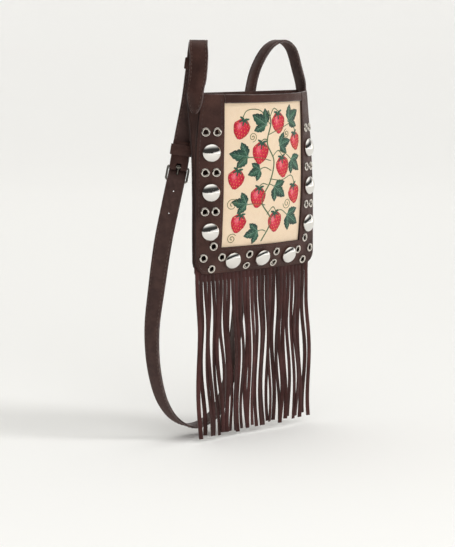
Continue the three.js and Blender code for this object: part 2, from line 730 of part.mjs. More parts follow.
function buildStrap() {
  const tail = (length) => {
    const short = barLength - length;
    return mainHeight(length) - lerp(2 * FOLD_RADIUS, STRAP_LAYER, ease(short / FOLD_START));
  };
  const shortStations = [
    ...stretch(0, TONGUE_LENGTH, TIP_STEP, flat),
    ...stretch(TONGUE_LENGTH, CREST_RUN, BEND_STEP, flat),
    ...stretch(CREST_RUN, barLength - LAYER_START, STEP, flat),
    ...stretch(barLength - LAYER_START, barLength, BEND_STEP, mainHeight),
    ...turnRound(barLength, FOLD_RADIUS, 90, -90, 2 * BEND_SIDES),
    ...stretch(barLength - BEND_STEP, barLength - FOLD_TAIL, BEND_STEP, tail),
  ];
  const shortStrap = ribbon(shortStations, ({ length }) => pointed(length));
  const slot = new THREE.BoxGeometry(2 * PRONG_SLOT_HALF, PRONG_SLOT_LENGTH, 4 * OVER_RADIUS);
  const { along, across, grain } = strapFrame(barLength + BUCKLE_PITCH / 2);
  slot.applyMatrix4(new THREE.Matrix4().makeBasis(across, along, grain));
  const slotPlace = bucklePoint(0, 0);
  slot.translate(slotPlace.x, slotPlace.y, slotPlace.z);
  addMesh('strap_short', cut(shortStrap, [slot]), leather);

  const tip = crestKeeperLength - FREE_END_ABOVE_KEEPER;
  const over = (length) => mainHeight(length) + STRAP_LAYER;
  const under = (length) => -underRadius * (1 - ease((length - lowerBar) / UNDER_RUN));
  const longStations = [
    ...stretch(tip, tip + TONGUE_LENGTH, TIP_STEP, over),
    ...stretch(tip + TONGUE_LENGTH, barLength - LAYER_START, STEP, over),
    ...stretch(barLength - LAYER_START, barLength, BEND_STEP, over),
    ...turnRound(barLength, OVER_RADIUS, 90, 90 - crossing, BEND_SIDES),
    ...turnRound(lowerBar, underRadius, -90 - crossing, -90, BEND_SIDES),
    ...stretch(lowerBar + BEND_STEP, lowerBar + UNDER_RUN, BEND_STEP, under),
    ...stretch(lowerBar + UNDER_RUN, lineLength - ARCH_RUN, STEP, flat),
    ...stretch(lineLength - ARCH_RUN, lineLength - TONGUE_LENGTH, BEND_STEP, flat),
    ...stretch(lineLength - TONGUE_LENGTH, lineLength, TIP_STEP, flat),
    { length: lineLength, height: 0 },
  ];
  const longStrap = ribbon(
    longStations,
    ({ length }) => Math.min(pointed(length - tip), pointed(lineLength - length)),
  );
  const prongHole = aimed(
    new THREE.CylinderGeometry(PRONG_HOLE_RADIUS, PRONG_HOLE_RADIUS, BUCKLE_PITCH, DRILL_SIDES),
    bucklePoint(BUCKLE_PITCH / 2, prongSlope * (BUCKLE_PITCH / 2)),
    prongDirection(),
  );
  const holes = HOLE_STEPS.map((k) => holeThrough(barLength + HOLE_START + k * HOLE_PITCH, HOLE_RADIUS));
  addMesh('strap_long', cut(longStrap, [prongHole, ...holes]), leather);
}

// Buckle

// A rounded rectangle as points, about its middle, from its half-sizes and corner radius
function roundedRectangle(halfX, halfY, radius, cornerSteps) {
  const corners = [[1, 1, 0], [-1, 1, 90], [-1, -1, 180], [1, -1, 270]];
  return corners.flatMap(([signX, signY, start]) => Array.from({ length: cornerSteps + 1 }, (_, k) => {
    const angle = THREE.MathUtils.degToRad(start + (k / cornerSteps) * 90);
    return {
      x: signX * (halfX - radius) + radius * Math.cos(angle),
      y: signY * (halfY - radius) + radius * Math.sin(angle),
    };
  }));
}

function buildBuckle() {
  const base = strapFrame(barLength + BUCKLE_PITCH / 2);
  const path = roundedRectangle(BUCKLE_HALF_WIDTH, BUCKLE_PITCH / 2, BUCKLE_CORNER, 3);
  const spot = ({ x, y }) => bucklePoint(BUCKLE_PITCH / 2 + y, 0, x);
  const rings = path.map((point, k) => {
    const before = spot(path[(k + path.length - 1) % path.length]);
    const after = spot(path[(k + 1) % path.length]);
    const outwards = after.sub(before).normalize().cross(base.grain);
    const middle = spot(point);
    return Array.from({ length: WIRE_SIDES }, (_, side) => {
      const angle = ((side + 0.5) / WIRE_SIDES) * 2 * Math.PI;
      return middle.clone()
        .addScaledVector(outwards, BUCKLE_WIRE * Math.cos(angle))
        .addScaledVector(base.grain, BUCKLE_WIRE * Math.sin(angle));
    });
  });
  addMesh('buckle_frame', loft(rings, true), gunmetal);

  const ringProfile = [
    new THREE.Vector2(PRONG_RING_BORE, -PRONG_RING_HALF),
    new THREE.Vector2(PRONG_RING, -PRONG_RING_HALF),
    new THREE.Vector2(PRONG_RING, PRONG_RING_HALF),
    new THREE.Vector2(PRONG_RING_BORE, PRONG_RING_HALF),
    new THREE.Vector2(PRONG_RING_BORE, -PRONG_RING_HALF),
  ];
  const ring = aimed(new THREE.LatheGeometry(ringProfile, RING_SIDES), bucklePoint(0, 0), base.across);
  const reach = BUCKLE_PITCH + PRONG_OVERHANG;
  const start = (PRONG_RING_BORE + PRONG_RING) / 2;
  const rod = new THREE.CylinderGeometry(PRONG_RADIUS, PRONG_RADIUS, reach - start, WIRE_SIDES);
  const middle = (reach + start) / 2;
  aimed(rod, bucklePoint(middle, prongSlope * middle), prongDirection());
  addMesh('buckle_prong', join([ring, rod]), gunmetal);
}

// Keepers: leather loops round the layers of the strap

function keeper(name, length, low, high) {
  const base = strapFrame(length);
  const centre = base.place.clone().addScaledVector(base.grain, (low + high) / 2);
  const halfX = STRAP_WIDTH / 2 + KEEPER_CLEAR;
  const halfY = (high - low) / 2 + KEEPER_CLEAR;
  const inner = roundedRectangle(halfX, halfY, KEEPER_CLEAR, 1);
  const outer = roundedRectangle(halfX + KEEPER_WALL, halfY + KEEPER_WALL, KEEPER_CLEAR + KEEPER_WALL, 1);
  const spot = ({ x, y }, end) => centre.clone()
    .addScaledVector(base.across, x)
    .addScaledVector(base.grain, y)
    .addScaledVector(base.along, end * KEEPER_HEIGHT / 2);
  const rings = inner.map((point, k) => [
    spot(point, -1),
    spot(outer[k], -1),
    spot(outer[k], 1),
    spot(point, 1),
  ]);
  addMesh(name, loft(rings, true), leather);
}

function buildKeepers() {
  const half = STRAP_THICK / 2;
  const atBuckle = LAYER_OFFSET;
  keeper(
    'buckle_keeper',
    barLength - BUCKLE_KEEPER_ABOVE,
    atBuckle - STRAP_LAYER - half,
    atBuckle + STRAP_LAYER + half,
  );
  keeper('crest_keeper', crestKeeperLength, -half, STRAP_LAYER + half);
}

// Fringe: a header along the bottom edge and strips that hang from it, fused in one

// Height of the body's bottom edge at x
function bottomEdge(x) {
  const left = column(FRONT_ROWS, 'leftX', BODY_BOTTOM) + CORNER_RADIUS;
  const right = column(FRONT_ROWS, 'rightX', BODY_BOTTOM) - CORNER_RADIUS;
  const past = Math.max(left - x, x - right, 0);
  return CORNER_TOP - Math.sqrt(CORNER_RADIUS ** 2 - past ** 2);
}

// Where strip i hangs at t, from 0 at the header to 1 at its tip, and how far it turns there
function stripPoint(i, t) {
  const share = (i + 0.5) / STRIP_COUNT;
  const x = lerp(FRINGE_LEFT, FRINGE_RIGHT, share);
  const top = bottomEdge(x) - HEADER_GAP - HEADER_HEIGHT / 2;
  const tip = FRINGE_TIP + FRINGE_TILT * share + FRINGE_RAGGED * (2 * scatter(i, 1) - 1);
  const drift = FRINGE_LEAN + STRIP_DRIFT * (scatter(i, 2) - 0.5) + BUNCH_DRIFT * Math.sin(i * BUNCH_RATE + BUNCH_PHASE);
  const sway = lerp(STRIP_SWAY.least, STRIP_SWAY.most, scatter(i, 3));
  const bends = lerp(STRIP_BENDS.least, STRIP_BENDS.most, scatter(i, 4));
  const phase = i * STRIP_PHASE.rate + STRIP_PHASE.jitter * (2 * scatter(i, 5) - 1);
  const wave = Math.sin(2 * Math.PI * bends * t + phase) - Math.sin(phase);
  const curl = STRIP_CURL * Math.sin(STRIP_CURL_RATE * t + phase);
  const layer = STRIP_LAYERS * (2 * scatter(i, 8) - 1) * ease(t * 4);
  const depth = layer + STRIP_SPREAD * t * (scatter(i, 6) - 0.5 + curl);
  const place = new THREE.Vector3(
    x + drift * t + sway * ease(t * 2.5) * wave,
    frontPoint(x, BODY_BOTTOM).y + FRINGE_DEPTH + depth,
    lerp(top, tip, t),
  );
  const turn = THREE.MathUtils.degToRad(STRIP_TURN * (2 * scatter(i, 7) - 1) * ease(t * 2));
  return { place, turn };
}

function buildFringe() {
  const headerRings = Array.from({ length: HEADER_STEPS + 1 }, (_, k) => {
    const x = lerp(FRINGE_LEFT, FRINGE_RIGHT, k / HEADER_STEPS);
    const y = frontPoint(x, BODY_BOTTOM).y + FRINGE_DEPTH;
    const top = bottomEdge(x) - HEADER_GAP;
    const half = HEADER_THICK / 2;
    return [
      new THREE.Vector3(x, y - half, top),
      new THREE.Vector3(x, y + half, top),
      new THREE.Vector3(x, y + half, top - HEADER_HEIGHT),
      new THREE.Vector3(x, y - half, top - HEADER_HEIGHT),
    ];
  });
  const strips = Array.from({ length: STRIP_COUNT }, (_, i) => {
    const rings = Array.from({ length: STRIP_STEPS + 1 }, (_step, k) => {
      const { place, turn } = stripPoint(i, k / STRIP_STEPS);
      const side = new THREE.Vector3(Math.cos(turn), Math.sin(turn), 0).multiplyScalar(STRIP_WIDTH / 2);
      const face = new THREE.Vector3(-Math.sin(turn), Math.cos(turn), 0).multiplyScalar(STRIP_THICK / 2);
      return [
        place.clone().sub(side).sub(face),
        place.clone().add(side).sub(face),
        place.clone().add(side).add(face),
        place.clone().sub(side).add(face),
      ];
    });
    return loft(rings);
  });
  addMesh('fringe', join([loft(headerRings), ...strips]), suede);
}

// Studs and eyelets

function buildStuds() {
  const rise = STUD_HEIGHT - STUD_RIM;
  const dome = Array.from({ length: DOME_STEPS + 1 }, (_, k) => {
    const angle = (k / DOME_STEPS) * (Math.PI / 2);
    return new THREE.Vector2(STUD_RADIUS * Math.cos(angle), STUD_RIM + rise * Math.sin(angle));
  });
  dome[DOME_STEPS].x = 0;
  const profile = [new THREE.Vector2(0, 0), new THREE.Vector2(STUD_RADIUS, 0), ...dome];
  studs.forEach(({ place, direction }, k) => {
    const seat = place.clone().addScaledVector(direction, SEAT_GAP);
    addMesh(`stud_${k + 1}`, aimed(new THREE.LatheGeometry(profile, STUD_SIDES), seat, direction), nickel);
  });
}

function buildEyelets() {
  const profile = [
    new THREE.Vector2(EYELET_BORE, -LEATHER - SEAT_GAP),
    new THREE.Vector2(EYELET_BARREL, -LEATHER - SEAT_GAP),
    new THREE.Vector2(EYELET_BARREL, 0),
    new THREE.Vector2(EYELET_RADIUS, 0),
    new THREE.Vector2(EYELET_BARREL, EYELET_HEIGHT),
    new THREE.Vector2(EYELET_BORE, -LEATHER - SEAT_GAP),
  ];
  eyelets.forEach(({ place, direction }, k) => {
    const seat = place.clone().addScaledVector(direction, SEAT_GAP);
    const ring = aimed(new THREE.LatheGeometry(profile, EYELET_SIDES), seat, direction);
    addMesh(`eyelet_${k + 1}`, ring, nickel);
  });
}

buildFront();
buildPanel();
buildBack();
buildGusset();
buildStrap();
buildBuckle();
buildKeepers();
buildFringe();
buildStuds();
buildEyelets();

export default bag;
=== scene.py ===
"""The looks of a small embroidered crossbody bag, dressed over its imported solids.

Lengths are in millimetres until they reach a mesh, which is in metres. +Z is up and the front faces -Y.
"""

from __future__ import annotations

import logging
import math
from abc import ABC, abstractmethod
from collections.abc import Callable, Sequence
from dataclasses import dataclass, field
from enum import Enum, IntEnum
from itertools import product
from typing import NamedTuple

import bmesh
import bpy
import numpy as np
from bmesh.types import BMesh, BMFace, BMVert
from bpy.types import ID, Material, Mesh, Node, NodeSocket, NodeTree, Object
from mathutils import Matrix, Quaternion, Vector

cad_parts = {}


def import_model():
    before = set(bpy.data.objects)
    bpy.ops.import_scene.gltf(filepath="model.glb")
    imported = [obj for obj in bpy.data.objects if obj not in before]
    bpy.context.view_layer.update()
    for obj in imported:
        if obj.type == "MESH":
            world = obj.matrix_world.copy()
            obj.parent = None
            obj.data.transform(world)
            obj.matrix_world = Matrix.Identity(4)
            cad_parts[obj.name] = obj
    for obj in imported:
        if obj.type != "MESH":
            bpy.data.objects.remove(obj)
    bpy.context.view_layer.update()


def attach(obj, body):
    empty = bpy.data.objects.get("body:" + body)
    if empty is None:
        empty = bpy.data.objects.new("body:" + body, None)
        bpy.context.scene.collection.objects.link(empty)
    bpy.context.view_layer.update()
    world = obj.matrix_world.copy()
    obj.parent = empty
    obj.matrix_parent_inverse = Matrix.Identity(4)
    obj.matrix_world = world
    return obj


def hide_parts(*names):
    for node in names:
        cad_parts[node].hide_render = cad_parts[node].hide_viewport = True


LOG = logging.getLogger("bag")
MM = 0.001
BODY = "root"
SEED = 7
FLOOR_Z = -394.0
CUT_MAP = "cut"
STITCH_MAP = "along"
DYE = "dye"
# Attribute of the painted shade and light on the fringe's strips.
PAINTED_SHADE = "painted_shade"
Values = np.ndarray | float
Height = Callable[[np.ndarray], np.ndarray]


class Slot(Enum):
    """Material slots of the bag, by name."""

    LEATHER = "brown_leather"
    FRINGE = "fringe_leather"
    CLOTH = "embroidered_cloth"
    NICKEL = "nickel"
    GUNMETAL = "gunmetal"


class Side(Enum):
    """Sides of the bag, with the way that each faces along X."""

    LEFT = -1
    RIGHT = 1


class Hide(IntEnum):
    """Numbers of the materials on a piece of leather."""

    GRAIN = 0
    FLESH = 1
    EDGE = 2
    # Pale, glossy edge paint; along the top edge it is also a painted highlight.
    PAINT = 3


def linear(code: str) -> tuple[float, float, float, float]:
    """Turn an sRGB hex colour to a linear one.

    Args:
        code: Six hex digits after a hash.

    Returns:
        Red, green, blue and alpha.
    """
    channels = [int(code[k : k + 2], 16) / 255 for k in (1, 3, 5)]
    red, green, blue = [c / 12.92 if c <= 0.04045 else ((c + 0.055) / 1.055) ** 2.4 for c in channels]
    return red, green, blue, 1.0


def per_mm(size: float) -> float:
    """Return the texture scale that gives a pattern of this size in millimetres on Object coordinates."""
    return 1.0 / (size * MM)


def waves(size: float) -> float:
    """Return the wave texture's scale that gives bands of this width in the units of its coordinates."""
    return math.pi / 10 / size


def add_node(tree: NodeTree, kind: str, settings: dict[str | int, object] | None = None) -> Node:
    """Add a node with its settings and links.

    Args:
        tree: The material's or world's node tree.
        kind: The node's type, without the word ShaderNode in front.
        settings: Values by input name, input number or property name. A socket is linked to the
            input, and a node by its first output.

    Returns:
        The new node.
    """
    node = tree.nodes.new(f"ShaderNode{kind}")
    for name, value in (settings or {}).items():
        if isinstance(value, Node):
            value = value.outputs[0]
        if isinstance(value, NodeSocket):
            tree.links.new(value, node.inputs[name])
        elif isinstance(name, int) or name in node.inputs:
            node.inputs[name].default_value = value
        else:
            setattr(node, name, value)
    return node


class Finish(ABC):
    """A material of the bag or the studio, named for the real one."""

    name: str

    @abstractmethod
    def surface(self, tree: NodeTree) -> Node:
        """Add the nodes to the material's tree and return the shader that ends them."""

    def make(self) -> Material:
        """Make the material.

        Returns:
            The material.
        """
        material = bpy.data.materials.new(self.name)
        material.use_nodes = True
        tree = material.node_tree
        tree.nodes.clear()
        add_node(tree, "OutputMaterial", {"Surface": self.surface(tree)})
        return material


@dataclass(frozen=True)
class LeatherFinish(Finish):
    """Drum-dyed cow leather: pebbled grain, slow changes of colour and a satin gloss broken by the grain.

    Where an attribute of painted shade is named, it darkens or lightens each face: painted shade and light.
    """

    name: str = "drum_dyed_leather"
    colour: str = "#33201D"
    worn: str = "#513630"
    grain: float = 1.3
    crease: float = 9.0
    mottle: float = 34.0
    relief: float = 0.16
    smooth: float = 0.42
    rough: float = 0.6
    painted_shade: str = ""

    def surface(self, tree: NodeTree) -> Node:
        """Add the nodes.

        Args:
            tree: The material's tree.

        Returns:
            The shader.
        """
        place = add_node(tree, "TexCoord").outputs["Object"]
        mottle = add_node(
            tree, "TexNoise", {"Scale": per_mm(self.mottle), "Detail": 5.0, "Roughness": 0.6, "Vector": place}
        )
        spread = add_node(tree, "MapRange", {"From Min": 0.36, "From Max": 0.68, "Value": mottle})
        tint = add_node(
            tree, "MixRGB", {"Color1": linear(self.colour), "Color2": linear(self.worn), "Fac": spread}
        )
        pebbles = add_node(
            tree,
            "TexVoronoi",
            {"feature": "DISTANCE_TO_EDGE", "Scale": per_mm(self.grain), "Randomness": 0.9, "Vector": place},
        )
        valleys = add_node(tree, "MapRange", {"From Max": 0.22, "Value": pebbles})
        creases = add_node(
            tree,
            "TexNoise",
            {"Scale": per_mm(self.crease), "Detail": 7.0, "Distortion": 0.6, "Vector": place},
        )
        # The grain's valleys are drawn darker.
        darker_valleys = add_node(tree, "MapRange", {"To Min": 0.72, "To Max": 1.0, "Value": valleys})
        shaded = {"blend_type": "MULTIPLY", "Fac": 1.0}
        colour = add_node(tree, "MixRGB", {**shaded, "Color1": tint, "Color2": darker_valleys})
        # Painted shade and light: the attribute darkens or lightens each face's colour.
        if self.painted_shade:
            painted_shade = add_node(tree, "Attribute", {"attribute_name": self.painted_shade}).outputs["Fac"]
            colour = add_node(tree, "MixRGB", {**shaded, "Color1": colour, "Color2": painted_shade})
        height = add_node(tree, "Math", {"operation": "MULTIPLY_ADD", 0: valleys, 1: 0.55, 2: creases})
        bump = add_node(tree, "Bump", {"Strength": 0.7, "Distance": self.relief * MM, "Height": height})
        gloss = add_node(
            tree,
            "MapRange",
            {"From Min": 0.3, "From Max": 0.7, "To Min": self.smooth, "To Max": self.rough, "Value": creases},
        )
        gleam = {"IOR": 1.46, "Specular Tint": linear("#F4D6CC")}
        return add_node(
            tree, "BsdfPrincipled", {**gleam, "Base Color": colour, "Roughness": gloss, "Normal": bump}
        )


@dataclass(frozen=True)
class NapFinish(Finish):
    """Split suede, the flesh side of the leather: short matt fibres that lie in patches."""

    name: str = "split_suede"
    colour: str = "#3A2724"
    brushed: str = "#4C3631"
    fibre: float = 0.5
    patch: float = 7.0

    def surface(self, tree: NodeTree) -> Node:
        """Add the nodes.

        Args:
            tree: The material's tree.

        Returns:
            The shader.
        """
        place = add_node(tree, "TexCoord").outputs["Object"]
        fibres = add_node(tree, "TexNoise", {"Scale": per_mm(self.fibre), "Detail": 3.0, "Vector": place})
        patches = add_node(
            tree, "TexNoise", {"Scale": per_mm(self.patch), "Detail": 4.0, "Distortion": 0.8, "Vector": place}
        )
        blend = add_node(
            tree, "Math", {"operation": "MULTIPLY_ADD", "use_clamp": True, 0: fibres, 1: 0.35, 2: patches}
        )
        spread = add_node(tree, "MapRange", {"From Min": 0.45, "From Max": 0.85, "Value": blend})
        colour = add_node(
            tree, "MixRGB", {"Color1": linear(self.colour), "Color2": linear(self.brushed), "Fac": spread}
        )
        bump = add_node(tree, "Bump", {"Strength": 0.6, "Distance": 0.12 * MM, "Height": fibres})
        sheen = {"Sheen Weight": 0.15, "Sheen Roughness": 0.4, "Sheen Tint": linear("#C9A79D")}
        return add_node(
            tree, "BsdfPrincipled", {"Roughness": 0.88, **sheen, "Base Color": colour, "Normal": bump}
        )


@dataclass(frozen=True)
class EdgeFinish(Finish):
    """Cut edges of leather, dyed or painted and burnished: a smooth line, rubbed paler in places. Along the
    bag's top edge its pale colour is also a painted highlight.
    """

    name: str = "edge_paint_and_painted_highlight"
    colour: str = "#42302D"
    worn: str = "#66524D"
    wear: float = 5.0
    rough: float = 0.3
    coat: float = 0.4

    def surface(self, tree: NodeTree) -> Node:
        """Add the nodes.

        Args:
            tree: The material's tree.

        Returns:
            The shader.
        """
        place = add_node(tree, "TexCoord").outputs["Object"]
        rubs = add_node(tree, "TexNoise", {"Scale": per_mm(self.wear), "Detail": 6.0, "Vector": place})
        spread = add_node(tree, "MapRange", {"From Min": 0.45, "From Max": 0.7, "Value": rubs})
        colour = add_node(
            tree, "MixRGB", {"Color1": linear(self.colour), "Color2": linear(self.worn), "Fac": spread}
        )
        bump = add_node(tree, "Bump", {"Strength": 0.3, "Distance": 0.1 * MM, "Height": rubs})
        gloss = {"Roughness": self.rough, "IOR": 1.46, "Coat Weight": self.coat, "Coat Roughness": 0.2}
        return add_node(tree, "BsdfPrincipled", {**gloss, "Base Color": colour, "Normal": bump})


@dataclass(frozen=True)
class WeaveFinish(Finish):
    """Cream plain-weave cotton: warp and weft cross over and under, with slubs and a warm, uneven dye.

    The threads are drawn twice as coarse as the real ones, so that they show from close by.
    """

    name: str = "plain_weave_cotton"
    colour: str = "#F6D9B6"
    pale: str = "#FFEAD0"
    thread: float = 0.7
    slub: float = 6.0

    def surface(self, tree: NodeTree) -> Node:
        """Add the nodes, which read the cloth's flat map in millimetres.

        Args:
            tree: The material's tree.

        Returns:
            The shader.
        """
        flat = add_node(tree, "UVMap", {"uv_map": CUT_MAP})
        threads = {"Scale": waves(self.thread), "Distortion": 0.4, "Vector": flat}
        warp = add_node(tree, "TexWave", {"bands_direction": "X", **threads}).outputs["Fac"]
        weft = add_node(tree, "TexWave", {"bands_direction": "Y", **threads}).outputs["Fac"]
        over = add_node(tree, "TexChecker", {"Scale": 1 / self.thread, "Vector": flat}).outputs["Fac"]
        height = add_node(tree, "MixRGB", {"Fac": over, "Color1": warp, "Color2": weft})
        slubs = add_node(
            tree, "TexNoise", {"Scale": 1 / self.slub, "Detail": 5.0, "Roughness": 0.65, "Vector": flat}
        )
        dye = add_node(
            tree, "MixRGB", {"Color1": linear(self.colour), "Color2": linear(self.pale), "Fac": slubs}
        )
        shade = add_node(tree, "MapRange", {"To Min": 0.86, "To Max": 1.05, "Value": height})
        colour = add_node(
            tree, "MixRGB", {"blend_type": "MULTIPLY", "Fac": 1.0, "Color1": dye, "Color2": shade}
        )
        bump = add_node(tree, "Bump", {"Strength": 0.5, "Distance": 0.2 * MM, "Height": height})
        matt = {"Roughness": 0.85, "Sheen Weight": 0.1}
        return add_node(tree, "BsdfPrincipled", {**matt, "Base Color": colour, "Normal": bump})


@dataclass(frozen=True)
class ThreadFinish(Finish):
    """Stranded thread: filaments with a slight twist, which give each stitch a soft lengthwise gleam."""

    name: str = "stranded_thread"
    filament: float = 0.16
    rough: float = 0.5
    sheen: float = 0.2
    twist: float = 12.0

    def surface(self, tree: NodeTree) -> Node:
        """Add the nodes, which read each stitch's own colour and its map in millimetres.

        Args:
            tree: The material's tree.

        Returns:
            The shader.
        """
        dye = add_node(tree, "Attribute", {"attribute_name": DYE})
        along = add_node(tree, "UVMap", {"uv_map": STITCH_MAP})
        turned = {"Rotation": (0.0, 0.0, math.radians(self.twist)), "Scale": (0.25, 1.0, 1.0)}
        twist = add_node(tree, "Mapping", {**turned, "Vector": along})
        strands = {"bands_direction": "Y", "Scale": waves(self.filament), "Distortion": 1.2, "Detail": 2.0}
        filaments = add_node(tree, "TexWave", {**strands, "Vector": twist}).outputs["Fac"]
        shade = add_node(tree, "MapRange", {"To Min": 0.78, "To Max": 1.08, "Value": filaments})
        colour = add_node(
            tree, "MixRGB", {"blend_type": "MULTIPLY", "Fac": 1.0, "Color1": dye, "Color2": shade}
        )
        bump = add_node(tree, "Bump", {"Strength": 0.4, "Distance": 0.06 * MM, "Height": filaments})
        gleam = {"Roughness": self.rough, "Sheen Weight": self.sheen, "Sheen Roughness": 0.4}
        return add_node(tree, "BsdfPrincipled", {**gleam, "Base Color": colour, "Normal": bump})


@dataclass(frozen=True)
class MetalFinish(Finish):
    """Plated and polished brass: mirror-like, with faint rubs that dull it in patches."""

    name: str = "polished_nickel_plate"
    colour: str = "#E4E1DC"
    smooth: float = 0.06
    rough: float = 0.16
    rub: float = 3.0

    def surface(self, tree: NodeTree) -> Node:
        """Add the nodes.

        Args:
            tree: The material's tree.

        Returns:
            The shader.
        """
        place = add_node(tree, "TexCoord").outputs["Object"]
        rubs = add_node(
            tree, "TexNoise", {"Scale": per_mm(self.rub), "Detail": 6.0, "Roughness": 0.7, "Vector": place}
        )
        gloss = add_node(
            tree,
            "MapRange",
            {"From Min": 0.35, "From Max": 0.75, "To Min": self.smooth, "To Max": self.rough, "Value": rubs},
        )
        bump = add_node(tree, "Bump", {"Strength": 0.04, "Distance": 0.05 * MM, "Height": rubs})
        plate = {"Base Color": linear(self.colour), "Metallic": 1.0}
        return add_node(tree, "BsdfPrincipled", {**plate, "Roughness": gloss, "Normal": bump})


@dataclass(frozen=True)
class StudioFinish(Finish):
    """Seamless pale paper: matt, with a little light of its own that keeps the sweep even."""

    name: str = "seamless_paper"
    colour: str = "#EEEDEB"
    floor_glow: float = 0.03
    wall_glow: float = 0.38
    rise: float = 900.0

    def surface(self, tree: NodeTree) -> Node:
        """Add the nodes, which light the paper up more as it rises.

        Args:
            tree: The material's tree.

        Returns:
            The shader.
        """
        place = add_node(tree, "TexCoord").outputs["Object"]
        height = add_node(tree, "SeparateXYZ", {"Vector": place}).outputs["Z"]
        levels = {"From Min": FLOOR_Z * MM, "From Max": (FLOOR_Z + self.rise) * MM}
        glows = {"To Min": self.floor_glow, "To Max": self.wall_glow}
        glow = add_node(tree, "MapRange", {**levels, **glows, "Value": height})
        paper = add_node(tree, "BsdfDiffuse", {"Color": linear(self.colour)})
        light = add_node(tree, "Emission", {"Color": linear(self.colour), "Strength": glow})
        return add_node(tree, "AddShader", {0: paper, 1: light})


class Finishes:
    """Every material of the bag, made once."""

    def __init__(self) -> None:
        """Make the materials."""
        self.leather = LeatherFinish().make()
        self.fringe = LeatherFinish(
            name="soft_fringe_leather",
            colour="#361B1A",
            worn="#4E2D2C",
            grain=0.9,
            crease=5.0,
            mottle=22.0,
            relief=0.1,
            smooth=0.48,
            rough=0.7,
            # Painted shade and light, strip by strip.
            painted_shade=PAINTED_SHADE,
        ).make()
        self.flesh = NapFinish().make()
        # Pale, glossy edge paint, which along the bag's top edge also stands in for a highlight.
        self.edge = EdgeFinish().make()
        self.dyed_edge = EdgeFinish("dyed_raw_edge", "#2B1B18", "#3A2723", rough=0.75, coat=0.0).make()
        self.cloth = WeaveFinish().make()
        self.thread = ThreadFinish().make()
        self.seam = ThreadFinish("waxed_seam_thread", rough=0.55, sheen=0.0).make()
        self.nickel = MetalFinish().make()
        self.eyelet = MetalFinish("worn_nickel_plate", "#CFC8BF", smooth=0.12, rough=0.28, rub=2.0).make()
        self.gunmetal = MetalFinish("dark_nickel_plate", "#ABA89F", smooth=0.26, rough=0.42, rub=2.0).make()
        self.prong = MetalFinish("rubbed_dark_plate", "#78746D", smooth=0.3, rough=0.45, rub=2.0).make()


class WallRow(NamedTuple):
    """Side edges and bulge of a wall at one height."""

    z: float
    left_x: float
    left_y: float
    right_x: float
    right_y: float
    bulge: float


def eased(t: Values) -> np.ndarray:
    """Return a smooth step of t from 0 to 1."""
    t = np.clip(t, 0.0, 1.0)
    return t * t * (3 - 2 * t)


def unit(vectors: np.ndarray) -> np.ndarray:
    """Return vectors of length 1, along the last axis."""
    return vectors / np.maximum(np.linalg.norm(vectors, axis=-1, keepdims=True), 1e-9)


def run_length(points: np.ndarray) -> np.ndarray:
    """Return how far along a line each of its points lies."""
    return np.concatenate([[0], np.cumsum(np.linalg.norm(np.diff(points, axis=0), axis=1))])


def scatter(i: int, k: int) -> float:
    """Return a repeatable number from 0 to 1 for item i and use k."""
    value = math.sin(i * 12.9898 + k * 78.233) * 43758.5453
    return value - math.floor(value)


@dataclass(frozen=True)
class Wall:
    """Outer face of the front or the back, as depths over width and height."""

    rows: tuple[WallRow, ...]
    facing: int
    top: float
    bottom: float = -225.5
    corner: float = 13.0
    sag: float = 0.0
    sag_to: float = -58.4

    def column(self, name: str, z: Values) -> np.ndarray:
        """Read a column of the table at heights between its rows, with no kinks.

        Args:
            name: The column.
            z: Heights.

        Returns:
            The column's values.
        """
        levels = np.array([row.z for row in self.rows])
        values = np.array([getattr(row, name) for row in self.rows])
        high = np.minimum(np.arange(len(levels)) + 1, len(levels) - 1)
        low = np.maximum(np.arange(len(levels)) - 1, 0)
        slopes = (values[high] - values[low]) / (levels[high] - levels[low])
        z = np.asarray(z, float)
        k = np.clip(np.searchsorted(-levels, -z, side="right") - 1, 0, len(levels) - 2)
        span = levels[k + 1] - levels[k]
        t = np.clip((z - levels[k]) / span, 0, 1)
        rise = values[k + 1] - values[k]
        start, end = slopes[k] * span, slopes[k + 1] * span
        return values[k] + t * (start + t * (3 * rise - 2 * start - end + t * (start + end - 2 * rise)))

    def at(self, x: Values, z: Values) -> np.ndarray:
        """Find points of the face.

        Args:
            x: Places across.
            z: Heights.

        Returns:
            One point for each x and z.
        """
        x, z = np.broadcast_arrays(np.asarray(x, float), np.asarray(z, float))
        left, right = self.column("left_x", z), self.column("right_x", z)
        t = (x - left) / (right - left)
        arch = 1 - (2 * t - 1) ** 2
        chord = self.column("left_y", z) * (1 - t) + self.column("right_y", z) * t
        drop = self.sag * eased((z - self.sag_to) / (self.top - self.sag_to)) * np.maximum(arch, 0)
        return np.stack([x, chord + self.facing * self.column("bulge", z) * arch, z - drop], -1)

    def outward(self, x: Values, z: Values) -> np.ndarray:
        """Find the directions that the face looks in.

        Args:
            x: Places across.
            z: Heights.

        Returns:
            One direction for each x and z.
        """
        x, z = np.asarray(x, float), np.asarray(z, float)
        along_x = self.at(x + 0.5, z) - self.at(x - 0.5, z)
        along_z = self.at(x, z + 0.5) - self.at(x, z - 0.5)
        normal = unit(np.cross(along_x, along_z))
        return normal * np.where(normal[..., 1:2] * self.facing > 0, 1.0, -1.0)

    def sunk(self, x: Values, z: Values, depth: float) -> np.ndarray:
        """Return points at a depth behind the face, one for each x and z."""
        return self.at(x, z) - depth * self.outward(x, z)

    def inset(self, z: Values) -> np.ndarray:
        """Return how far the round bottom corners draw the side edges in."""
        drop = np.maximum(self.bottom + self.corner - np.asarray(z, float), 0)
        return self.corner - np.sqrt(np.maximum(self.corner**2 - drop**2, 0))

    def edges(self, z: Values) -> tuple[np.ndarray, np.ndarray]:
        """Return where the left and the right edge are, for each height."""
        return self.column("left_x", z) + self.inset(z), self.column("right_x", z) - self.inset(z)


